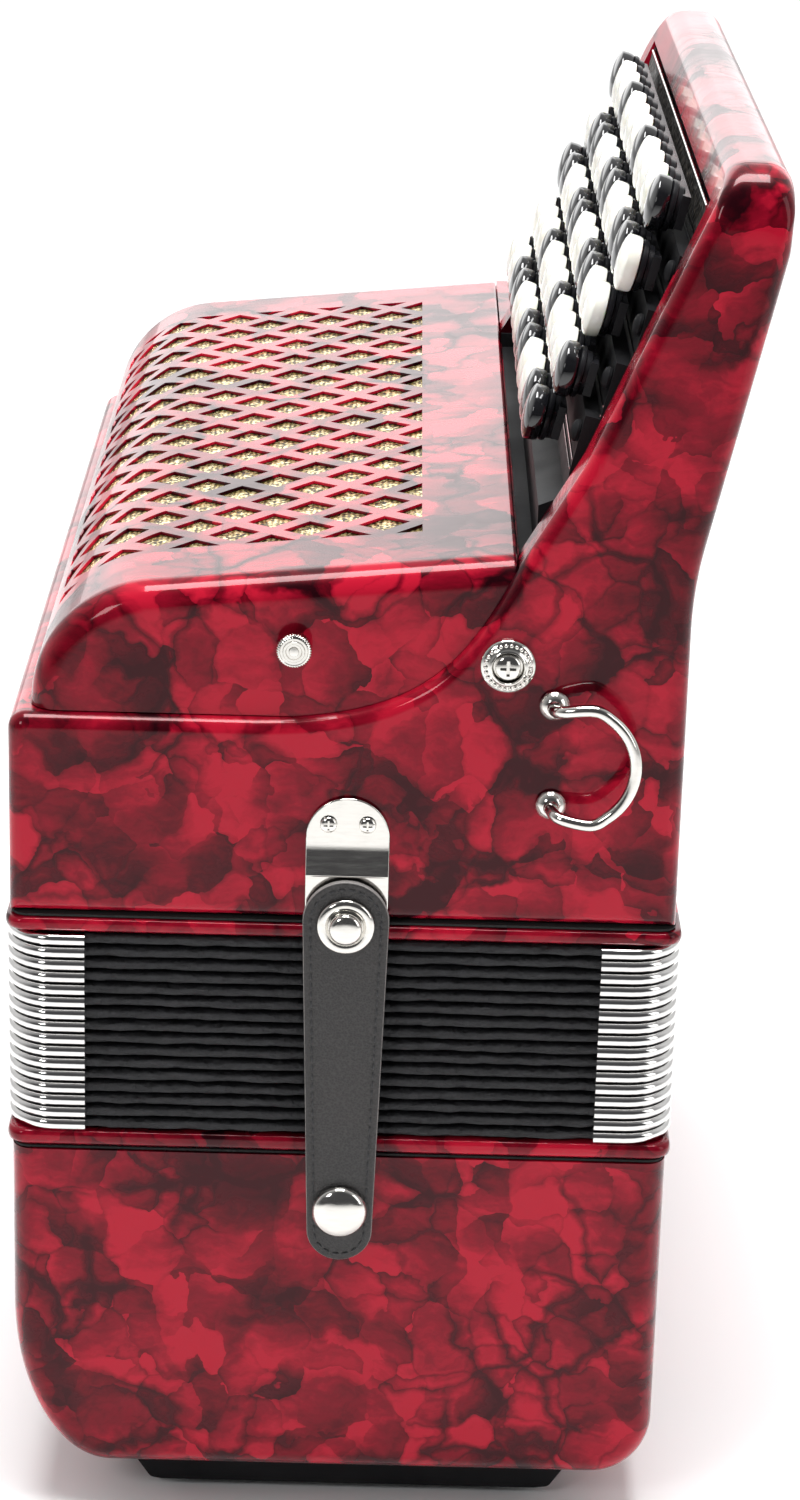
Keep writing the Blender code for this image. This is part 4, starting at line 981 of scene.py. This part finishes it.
def bed_details():
    """Polished strips and pads on the steps, and a rough panel on the top one."""
    steps = treads()
    strips = bmesh.new()
    for lower, _ in steps:
        for rise in (0.0006, 0.0032):
            merge(strips, on_bed(lower, rise, 0.0005, 0.0002))
    piece("key_bed_edge_strips", strips, [CHROME], "treble_side")

    pad = [(0, 0.0002), (0.0028, 0.0002), (0.0030, 0.0009), (0.0025, 0.0018), (0.0013, 0.0023), (0, 0.0024)]
    pads = bmesh.new()
    for lower, upper in steps[:-1]:
        at = 0.5 * (lower + upper) + CAP_UP * 0.0026
        merge(pads, turned(pad, 24, (at.x, BED_NEAR + 0.0036, at.y), (CAP_OUT.x, 0, CAP_OUT.y)))
    piece("key_bed_pads", pads, [MOULDING], "treble_side", sharp=40)

    lower, upper = steps[-1]
    margin_low, margin_high = 0.0045, 0.0012
    tall = (upper - lower).length - margin_low - margin_high
    panel = on_bed(lower, margin_low, tall, 0.0002)
    piece("key_bed_top_panel", panel, [CRACKLE], "treble_side")


def recess_trim():
    """Thin bright strip along the recess's upper edge."""
    at = RECESS_TOP + Vector((0.0004, -0.0012))
    section = fillet([(at.x, at.y, 0.0003), (at.x + 0.0014, at.y - 0.0002, 0.0003),
                      (at.x + 0.0016, at.y - 0.0016, 0.0003), (at.x + 0.0002, at.y - 0.0014, 0.0003)], 3)
    strip = rounded_prism(section, -HALF_Y + CHEEK + 0.0005, 0.084)
    piece("recess_trim", strip, [CHROME], "treble_side")


# ---- bellows --------------------------------------------------------------------------------
def rounded_loop(half_x, half_y, radius, steps, straight=0):
    """Rectangle with round corners in XY, optionally with extra points along its sides."""
    points = []
    for quarter, (sx, sy) in enumerate(((1, 1), (-1, 1), (-1, -1), (1, -1))):
        for k in range(steps + 1):
            angle = math.pi / 2 * (quarter + k / steps)
            x = sx * (half_x - radius) + radius * math.cos(angle)
            y = sy * (half_y - radius) + radius * math.sin(angle)
            points.append(Vector((x, y)))
    if not straight:
        return points
    filled = []
    for k, here in enumerate(points):
        after = points[(k + 1) % len(points)]
        parts = max(1, round((after - here).length / straight))
        filled += [here.lerp(after, part / parts) for part in range(parts)]
    return filled


def stretch_between(obj):
    """Bakes the piece's placement into its mesh."""
    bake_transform(obj)


def within(value, limit):
    return max(-limit, min(limit, value))


def fold_profile():
    """One fold as (depth below the bellows' outside, share of the pitch): valley, round nose, valley."""
    valley, nose = [(FOLD_DEPTH, 0.0), (0.0034, 0.10)], 0.0016
    tip = []
    for k in range(7):
        angle = math.pi * k / 6
        tip.append((nose * (1 - math.sin(angle)), 0.5 - 0.37 * math.cos(angle)))
    return valley + tip + [(0.0034, 0.90), (FOLD_DEPTH, 1.0)]


def bellows_fold(index):
    """One crinkled fold, closed inside by a thin wall."""
    low = BELLOWS_LOW.z + index * FOLD_PITCH
    loop = rounded_loop(HALF_X, HALF_Y, CORNER_RADIUS, 5, 0.0030)
    outer = []
    for away, share in fold_profile():
        ring = []
        for p in loop:
            core = Vector((within(p.x, HALF_X - CORNER_RADIUS), within(p.y, HALF_Y - CORNER_RADIUS)))
            outwards = (p - core).normalized()
            seed = Vector((p.x * 190, p.y * 190, index * 7.3 + share * 2.6))
            rough = 0.0009 * noise.noise(seed) if 0.04 < share < 0.96 else 0.0
            p = p - outwards * max(away - rough, 0.0)
            ring.append((p.x, p.y, low + share * FOLD_PITCH))
        outer.append(ring)
    inner = [[(x * 0.985, y * 0.992, z) for x, y, z in ring] for ring in (outer[0], outer[-1])]
    bm = bmesh.new()
    rings = [[bm.verts.new(p) for p in ring] for ring in outer + inner[::-1]]
    for lower, upper in zip(rings, rings[1:] + rings[:1]):
        join(bm, lower, upper)
    bmesh.ops.recalc_face_normals(bm, faces=bm.faces[:])
    obj = piece("bellows_fold_%02d" % (index + 1), bm, [CLOTH], None, ["bellows"], 60)
    stretch_between(obj)


def corner_path():
    """Points and outward directions along one corner of the bellows, seen from above."""
    centre = Vector((HALF_X - CORNER_RADIUS, HALF_Y - CORNER_RADIUS))
    path = [(Vector((HALF_X, HALF_Y - CORNER_ARM)), Vector((1, 0)))]
    for k in range(9):
        angle = math.pi / 2 * k / 8
        out = Vector((math.cos(angle), math.sin(angle)))
        path.append((centre + out * CORNER_RADIUS, out))
    path.append((Vector((HALF_X - CORNER_ARM, HALF_Y)), Vector((0, 1))))
    return path


def corner_caps(index):
    """The four plated corner pieces of one fold, each bent round its corner."""
    middle = BELLOWS_LOW.z + (index + 0.5) * FOLD_PITCH
    section = [(-0.0016, -0.00150), (0.0003, -0.00158)]
    for k in range(7):
        angle = math.radians(-80 + 160 * k / 6)
        section.append((0.0003 + 0.00115 * math.cos(angle), 0.00152 * math.sin(angle)))
    section += [(0.0003, 0.00158), (-0.0016, 0.00150)]
    bm = bmesh.new()
    for sx, sy in ((1, 1), (-1, 1), (-1, -1), (1, -1)):
        rings = []
        for point, out in corner_path():
            ring = [point + out * (away + 0.0002) for away, _ in section]
            rings.append([(sx * p.x, sy * p.y, middle + rise) for p, (_, rise) in zip(ring, section)])
        merge(bm, loft(rings))
    bmesh.ops.recalc_face_normals(bm, faces=bm.faces[:])
    ends = ("front_near", "back_near", "front_far", "back_far")
    corners = ["bellows_corners_" + where for where in ends]
    obj = piece("bellows_corner_caps_%02d" % (index + 1), bm, [CHROME], None, corners, 50)
    stretch_between(obj)


def bellows_frame(name, node, body):
    """Marbled frame that closes the bellows, a little proud of the case at its rounded rim."""
    low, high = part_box(node)
    rise = high.z - low.z
    levels = [(0.0, 0.0010), (0.18, 0.0002), (0.40, 0.0), (0.60, 0.0), (0.82, 0.0002), (1.0, 0.0010)]
    rings = []
    for share, away in levels:
        half_x = HALF_X + 0.0012 - away
        half_y = HALF_Y + 0.0002 - away
        rings.append([(p.x, p.y, low.z + share * rise) for p in rounded_loop(half_x, half_y, 0.005, 8)])
    bm = loft(rings)
    hole = rounded_loop(HALF_X - 0.013, HALF_Y - 0.013, 0.003, 4)
    cutter = loft([[(p.x, p.y, z) for p in hole] for z in (low.z - 0.01, high.z + 0.01)])
    bm = boolean(bm, "DIFFERENCE", cutter)
    piece(name, bm, [RED], body, [node], 50)


# ---- hardware -------------------------------------------------------------------------------
def cross_recess(node, side, depth, top, arm, width):
    """Cutters for a Phillips recess in a screw head."""
    x, _, z = centre_of(node)
    back = back_of(node, side)
    ends = sorted((back + side * (top - depth), back + side * (top + 0.004)))
    spans = ((arm, width), (width, arm))
    return [block((x - a, ends[0], z - b), (x + a, ends[1], z + b)) for a, b in spans]


def stitch(middle, along, across, length, radius):
    """One thread stitch that dips into the leather at both ends."""
    points = [middle + along * (share * length) + across * lift
              for share, lift in ((-0.5, -0.0002), (-0.25, 0.00022), (0.25, 0.00022), (0.5, -0.0002))]
    return tube(points, radius, 6, across)


def strap_seam(outline, outside, side):
    """Stitches at an even pitch along an outline on the strap's outer face."""
    pitch = 0.0027
    stitches = bmesh.new()
    travelled = 0.0
    for here, after in zip(outline, outline[1:] + outline[:1]):
        along = after - here
        while travelled < along.length:
            at = here + along.normalized() * travelled
            forward = Vector((along.x, 0, along.y)).normalized()
            middle = Vector((at.x, outside, at.y))
            merge(stitches, stitch(middle, forward, Vector((0, side, 0)), 0.0018, 0.00026))
            travelled += pitch
        travelled -= along.length
    return stitches


def straps(where, side):
    """Leather strap with a seam along its edge, its press stud and the fixed stud it turns on."""
    node = "bellows_strap_" + where
    low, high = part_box(node)
    x, _, _ = centre_of(node)
    top_half, low_half = 0.5 * (high.x - low.x), 0.0090
    centre_top, centre_low = high.z - top_half, low.z + low_half

    def strap_outline(amount):
        points = arc((x, centre_top), (top_half - amount, top_half - amount), 0, 180, 24)
        return points + arc((x, centre_low), (low_half - amount, low_half - amount), 180, 360, 20)

    bm = rounded_prism(strap_outline, low.y, high.y, 0.0008, 0.0008, 4)
    # Side faces take the lighter edge leather, a painted highlight along the strap's cut edges.
    for face in bm.faces:
        face.material_index = 1 if abs(face.normal.y) < 0.75 else 0
    body = "strap_" + where
    piece("strap_leather_" + where, bm, [LEATHER, LEATHER_EDGE_HIGHLIGHT], body, [node], 60)
    seam = strap_seam(strap_outline(0.0021), high.y if side > 0 else low.y, side)
    piece("strap_seam_" + where, seam, [THREAD], body, sharp=60)

    snap = [(0, 0), (0.0073, 0), (0.0078, 0.0005), (0.0077, 0.0010), (0.0070, 0.0015), (0.0060, 0.0016)]
    snap += [(0.0052, 0.0013), (0.0047, 0.0009), (0.0045, 0.0010), (0.0045, 0.0026), (0.0041, 0.0034)]
    snap += [(0.0031, 0.0039), (0.0016, 0.0041), (0, 0.00415)]
    stud = [(0, 0), (0.0070, 0), (0.0076, 0.0006), (0.0074, 0.0015), (0.0066, 0.0024), (0.0050, 0.0031)]
    stud += [(0.0028, 0.0036), (0, 0.0038)]
    kinds = (("press_stud_", "strap_snap_", snap, body), ("fixed_stud_", "strap_stud_", stud, "bass_side"))
    for kind, cad_kind, profile, holder in kinds:
        bm = on_side(profile, cad_kind + where, side)
        piece(kind + where, bm, [NICKEL], holder, [cad_kind + where], 50)


def bracket(where, side):
    """Nickel plate with a half-round top and a band that slopes outwards, held by two screws."""
    node = "strap_bracket_" + where
    low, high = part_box(node)
    x, _, _ = centre_of(node)
    half, back = 0.5 * (high.x - low.x), back_of(node, side)
    face = back + side * 0.0012

    def plate_outline(amount):
        radius = half - amount
        feet = [Vector((x - radius, low.z + amount)), Vector((x + radius, low.z + amount))]
        return feet[:1] + arc((x, high.z - half), (radius, radius), 180, 0, 32) + feet[1:]

    near, far = (0.0, 0.0004) if side > 0 else (0.0004, 0.0)
    plate = rounded_prism(plate_outline, *sorted((back, face)), near, far, 3)
    inner = back + side * 0.0003
    band = [(inner, 0.1972, 0), (face + side * 0.0015, 0.1972, 0), (face + side * 0.0017, 0.1976, 0.0002)]
    band += [(face + side * 0.0002, 0.2046, 0.015), (face - side * 0.0002, 0.2076, 0), (inner, 0.2076, 0)]
    section = fillet(band, 6)
    ridge = loft([[(at, p.x, p.y) for p in section] for at in (x - half + 0.0002, x + half - 0.0002)])
    plate = boolean(plate, "UNION", ridge)
    piece("strap_plate_" + where, plate, [NICKEL], "treble_side", [node], 35)
    head = [(0, 0), (0.0023, 0), (0.0023, 0.0003), (0.0020, 0.0007), (0.0012, 0.0010), (0, 0.0011)]
    for k in (1, 2):
        screw = "bracket_screw_%s_%d" % (where, k)
        cross = cross_recess(screw, side, 0.0006, 0.0011, 0.0013, 0.00025)
        bm = boolean(on_side(head, screw, side, 32), "DIFFERENCE", *cross)
        piece(screw + "_head", bm, [NICKEL], "treble_side", [screw], 40)


def case_screw(where, side):
    """Cup washer with a beaded rim round a countersunk cross-head screw."""
    node = "case_screw_" + where
    cup = [(0, 0), (0.0070, 0), (0.0073, 0.0004), (0.0071, 0.0010), (0.0062, 0.0015), (0.0054, 0.0017)]
    cup += [(0.0049, 0.0024), (0.0044, 0.0026), (0.0040, 0.0023), (0.0038, 0.0005), (0, 0.0005)]
    bead = [(0, 0), (0.00062, 0.0), (0.00055, 0.0004), (0.0003, 0.0006), (0, 0.00066)]
    x, _, z = centre_of(node)
    seat = back_of(node, side) + side * 0.0013
    bm = on_side(cup, node, side, 64)
    beads, reach = 26, 0.0059
    for k in range(beads):
        angle = 2 * math.pi * k / beads
        centre = (x + reach * math.cos(angle), seat, z + reach * math.sin(angle))
        merge(bm, turned(bead, 10, centre, (0, side, 0)))
    piece("cup_washer_" + where, bm, [NICKEL], "treble_side", [node], 50)
    head = [(0, 0.0006), (0.0034, 0.0006), (0.0034, 0.0021), (0.0029, 0.0026), (0.0016, 0.0029), (0, 0.0030)]
    cross = cross_recess(node, side, 0.0012, 0.0030, 0.0021, 0.00042)
    screw = boolean(on_side(head, node, side, 40), "DIFFERENCE", *cross)
    piece("cross_screw_" + where, screw, [NICKEL], "treble_side", sharp=40)


def thumbscrew(where, side):
    """Knurled head with turned rings on its face."""
    node = "thumbscrew_" + where
    back = back_of(node, side)
    x, _, z = centre_of(node)
    neck = [(0.0024, 0.0), (0.0024, 0.0016)]
    grip = [(0.0043, 0.0018), (0.0047, 0.0021), (0.0047, 0.0048), (0.0043, 0.0052)]
    face = [(0.0038, 0.0054), (0.0036, 0.0052), (0.0030, 0.0052), (0.0028, 0.0055), (0.0022, 0.0055)]
    face += [(0.0020, 0.0052), (0.0014, 0.0052), (0.0012, 0.0056), (0.0004, 0.0057)]
    points = 160
    tooth = (1, 0.35, 0, 0.35)
    rings = []
    for profile, groove in ((neck, 0.0), (grip, 0.00022), (face, 0.0)):
        for radius, along in profile:
            ring = []
            for k in range(points):
                angle = 2 * math.pi * k / points
                reach = radius - groove * tooth[k % 4]
                ring.append((x + reach * math.cos(angle), back + side * along, z + reach * math.sin(angle)))
            rings.append(ring)
    piece(node + "_head", loft(rings), [NICKEL], node, [node], 40)


def strap_loop(where, side):
    """Bent wire loop with a domed rosette at each foot."""
    node = "strap_loop_" + where
    low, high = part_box(node)
    foot_margin = 0.0042
    x, z_low, z_high = low.x - MID_X + foot_margin, low.z + foot_margin, high.z - foot_margin
    face = back_of(node, side)
    middle = 0.5 * (z_low + z_high)
    stand = face + side * 0.0095
    reach, shift = 0.0215 - 0.0045, 0.0045
    rise = 0.5 * (z_high - z_low) + 0.0030
    points = [Vector((x, face + side * 0.0005, z_high)), Vector((x, face + side * 0.0045, z_high))]
    points.append(Vector((x + 0.0025, stand - side * 0.0015, z_high + 0.0010)))
    for k in range(9):
        angle = math.radians(70 - 140 * k / 8)
        points.append(Vector((x + shift + reach * math.cos(angle), stand, middle + rise * math.sin(angle))))
    points.append(Vector((x + 0.0025, stand - side * 0.0015, z_low - 0.0010)))
    points += [Vector((x, face + side * 0.0045, z_low)), Vector((x, face + side * 0.0005, z_low))]
    bm = tube(spline(points, 6), 0.00165, 20, (0, 0, 1))
    rosette = [(0, 0), (0.0041, 0), (0.0042, 0.0005), (0.0040, 0.0010), (0.0034, 0.0018), (0.0026, 0.0025)]
    rosette += [(0.0021, 0.0027), (0.0018, 0.0034), (0, 0.0035)]
    for z in (z_low, z_high):
        merge(bm, turned(rosette, 36, (x, face, z), (0, side, 0)))
    piece("carrying_loop_" + where, bm, [NICKEL], "treble_side", [node], 45)


# ---- underside ------------------------------------------------------------------------------
def base_plate():
    """Black moulding with rounded rims, a channel for the hand, and openings for the buttons."""
    low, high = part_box("bass_base_plate")
    left, right = low.x - MID_X, high.x - MID_X
    corners = [(left, high.z, 0), (left + 0.0065, low.z + 0.0006, 0.0022), (left + 0.010, low.z, 0)]
    corners += [(right - 0.011, low.z, 0), (right - 0.0065, low.z + 0.0006, 0.0022), (right, high.z, 0)]
    plate = rounded_prism(fillet(corners, 6), low.y, high.y, 0.0012, 0.0012, 4)
    plate = boolean(plate, "DIFFERENCE", button_window(), block(*HAND_CHANNEL), air_hole())
    piece("base_plate_moulding", plate, [MOULDING], "bass_side", ["bass_base_plate"])


def foot(index):
    node = "foot_%d" % index
    _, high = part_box(node)
    profile = [(0, 0), (0.0026, 0), (0.0036, 0.0003), (0.0043, 0.0010), (0.0046, 0.0018)]
    profile += [(0.0046, high.z), (0, high.z)]
    piece(node + "_stud", upright(profile, node, 36), [CHROME], "bass_side", [node], 40)


def bass_buttons(index):
    """Slim round buttons on the rail that joins a row."""
    node = "bass_button_row_%d" % index
    low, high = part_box(node)
    x, y, _ = centre_of(node)
    bm = paint(block((x - 0.0022, low.y, high.z - 0.002), (x + 0.0022, high.y, high.z)), 1)
    cap = [(0, low.z), (0.0010, low.z + 0.0001), (0.0018, low.z + 0.0004), (0.0023, low.z + 0.0010)]
    cap += [(0.0024, low.z + 0.0016), (0.0024, high.z - 0.0015), (0, high.z - 0.0015)]
    for k in range(BUTTONS):
        centre = (x, y + (k - 0.5 * (BUTTONS - 1)) * BASS_BUTTON_PITCH, 0)
        merge(bm, paint(turned(cap, 20, centre, (0, 0, 1)), 0))
    piece(node + "_caps", bm, [IVORY, MOULDING], "bass_row_%d" % index, [node], 40)


def air_button():
    node = "air_button"
    low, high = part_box(node)
    profile = [(0, low.z + 0.0004), (0.0030, low.z), (0.0042, low.z + 0.0002), (0.0049, low.z + 0.0010)]
    profile += [(0.0050, low.z + 0.0018), (0.0050, high.z), (0, high.z)]
    piece("air_button_cap", upright(profile, node, 40), [CHROME], "air", [node], 40)


def hand_strap():
    """Padded leather strap lying flat under the base, with a seam along both edges."""
    low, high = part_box("hand_strap")
    left, right = low.x - MID_X, high.x - MID_X
    outline = rounded_loop(0.5 * (right - left), high.y, 0.012, 8, 0.006)
    centre = 0.5 * (left + right)
    rings = []
    for level in range(9):
        angle = math.pi * level / 8
        away = 0.0009 * (1 - math.sin(angle))
        z = 0.5 * (low.z + high.z) - 0.5 * (high.z - low.z) * math.cos(angle)
        ring = []
        for p in outline:
            out = Vector((p.x, p.y)).normalized()
            ring.append((centre + p.x - out.x * away, p.y - out.y * away, z))
        rings.append(ring)
    piece("hand_strap_leather", loft(rings), [LEATHER], "bass_side", ["hand_strap"], 60)
    stitches = bmesh.new()
    each_way, pitch = 48, 0.0029
    for x in (left + 0.003, right - 0.003):
        for k in range(-each_way, each_way + 1):
            y = k * pitch
            points = [Vector((x, y + d, low.z - lift)) for d, lift in
                      ((-0.0011, -0.0003), (-0.0006, 0.0001), (0.0006, 0.0001), (0.0011, -0.0003))]
            merge(stitches, tube(points, 0.00022, 6, (1, 0, 0)))
    piece("hand_strap_seam", stitches, [THREAD], "bass_side", sharp=60)


def inner_looks():
    """Procedural materials for the CAD nodes that stay as they are."""
    looks = {"soundboard": WOOD, "reed_block": WOOD, "gasket": FELT, "button_board": MOULDING}
    for name, node in frame["nodes"].items():
        for word, material in looks.items():
            if word in name:
                node.data.materials.clear()
                node.data.materials.append(material)


# ---- stage ----------------------------------------------------------------------------------
def floor():
    bpy.ops.mesh.primitive_plane_add(size=24, location=(0, 6, 0))
    obj = bpy.context.active_object
    obj.name = "floor"
    look = Look("floor", 0.55)
    look.colour(look.ramp(look.noise(3, 3), [(0.3, (0.92, 0.92, 0.92)), (0.7, (0.94, 0.94, 0.94))]))
    obj.data.materials.append(look.material)


def softbox(name, place, target, size, power):
    data = bpy.data.lights.new(name, "AREA")
    data.shape = "RECTANGLE"
    data.size, data.size_y = size
    data.energy = power
    obj = bpy.data.objects.new(name, data)
    bpy.context.scene.collection.objects.link(obj)
    obj.location = place
    obj.rotation_euler = (Vector(target) - Vector(place)).to_track_quat("-Z", "Y").to_euler()


def studio():
    """White room, darker behind the camera, with soft boxes above and at both sides."""
    world = bpy.data.worlds.new("studio")
    bpy.context.scene.world = world
    world.use_nodes = True
    tree = world.node_tree
    place = tree.nodes.new("ShaderNodeTexCoord")
    split = tree.nodes.new("ShaderNodeSeparateXYZ")
    ramp = tree.nodes.new("ShaderNodeValToRGB")
    stretch = tree.nodes.new("ShaderNodeMapRange")
    stretch.inputs["From Min"].default_value = -1.0
    tree.links.new(place.outputs["Generated"], split.inputs["Vector"])
    tree.links.new(split.outputs["Y"], stretch.inputs["Value"])
    tree.links.new(stretch.outputs["Result"], ramp.inputs["Fac"])
    ramp.color_ramp.elements[0].position = 0.20
    ramp.color_ramp.elements[0].color = (0.10, 0.10, 0.105, 1)
    ramp.color_ramp.elements[1].position = 0.62
    ramp.color_ramp.elements[1].color = (1.0, 1.0, 1.0, 1)
    tree.links.new(ramp.outputs["Color"], tree.nodes["Background"].inputs["Color"])
    tree.nodes["Background"].inputs["Strength"].default_value = 0.80
    target = (0, 0, 0.2)
    softbox("soft_back", (0.0, 2.6, 1.3), (0, 0, 0.5), (4.0, 2.2), 34)
    softbox("soft_top", (0.0, -0.15, 1.7), target, (0.8, 0.7), 36)
    softbox("key_left", (-0.85, -1.25, 1.05), target, (0.30, 0.40), 4.5)
    softbox("fill_right", (1.5, -0.9, 0.8), target, (0.6, 1.2), 5)


def camera():
    """Looks along +Y from a little above, slightly rolled."""
    pitch, roll, yaw = (math.radians(angle) for angle in (CAMERA_PITCH, CAMERA_ROLL, CAMERA_YAW))
    level = Vector((-math.sin(yaw), math.cos(yaw), 0))
    side = Vector((math.cos(yaw), math.sin(yaw), 0))
    forward = math.cos(pitch) * level - math.sin(pitch) * Vector((0, 0, 1))
    overhead = math.sin(pitch) * level + math.cos(pitch) * Vector((0, 0, 1))
    right = math.cos(roll) * side + math.sin(roll) * overhead
    up = math.cos(roll) * overhead - math.sin(roll) * side
    data = bpy.data.cameras.new("camera")
    data.lens = CAMERA_LENS
    data.sensor_width = CAMERA_SENSOR
    obj = bpy.data.objects.new("camera", data)
    bpy.context.scene.collection.objects.link(obj)
    rotation = Matrix((right, up, -forward)).transposed()
    obj.matrix_world = Matrix.Translation(CAMERA_PLACE) @ rotation.to_4x4()
    bpy.context.scene.camera = obj


# ---- build ----------------------------------------------------------------------------------
bass_case()
treble_case()
dome_shell()
grille_cloth()
for row in range(len(ROW_COLOURS)):
    button_row(row)
key_bed()
bed_details()
recess_trim()
for fold in range(FOLDS):
    bellows_fold(fold)
    corner_caps(fold)
bellows_frame("bass_frame_rim", "bass_bellows_frame", "bass_side")
bellows_frame("treble_frame_rim", "treble_bellows_frame", "treble_side")
for where, side in (("near", -1), ("far", 1)):
    straps(where, side)
    bracket(where, side)
    case_screw(where, side)
    thumbscrew(where, side)
    strap_loop(where, side)
base_plate()
for index in range(1, 5):
    foot(index)
    bass_buttons(index)
air_button()
hand_strap()
inner_looks()
floor()
studio()
camera()
bpy.context.scene.view_settings.view_transform = "Standard"
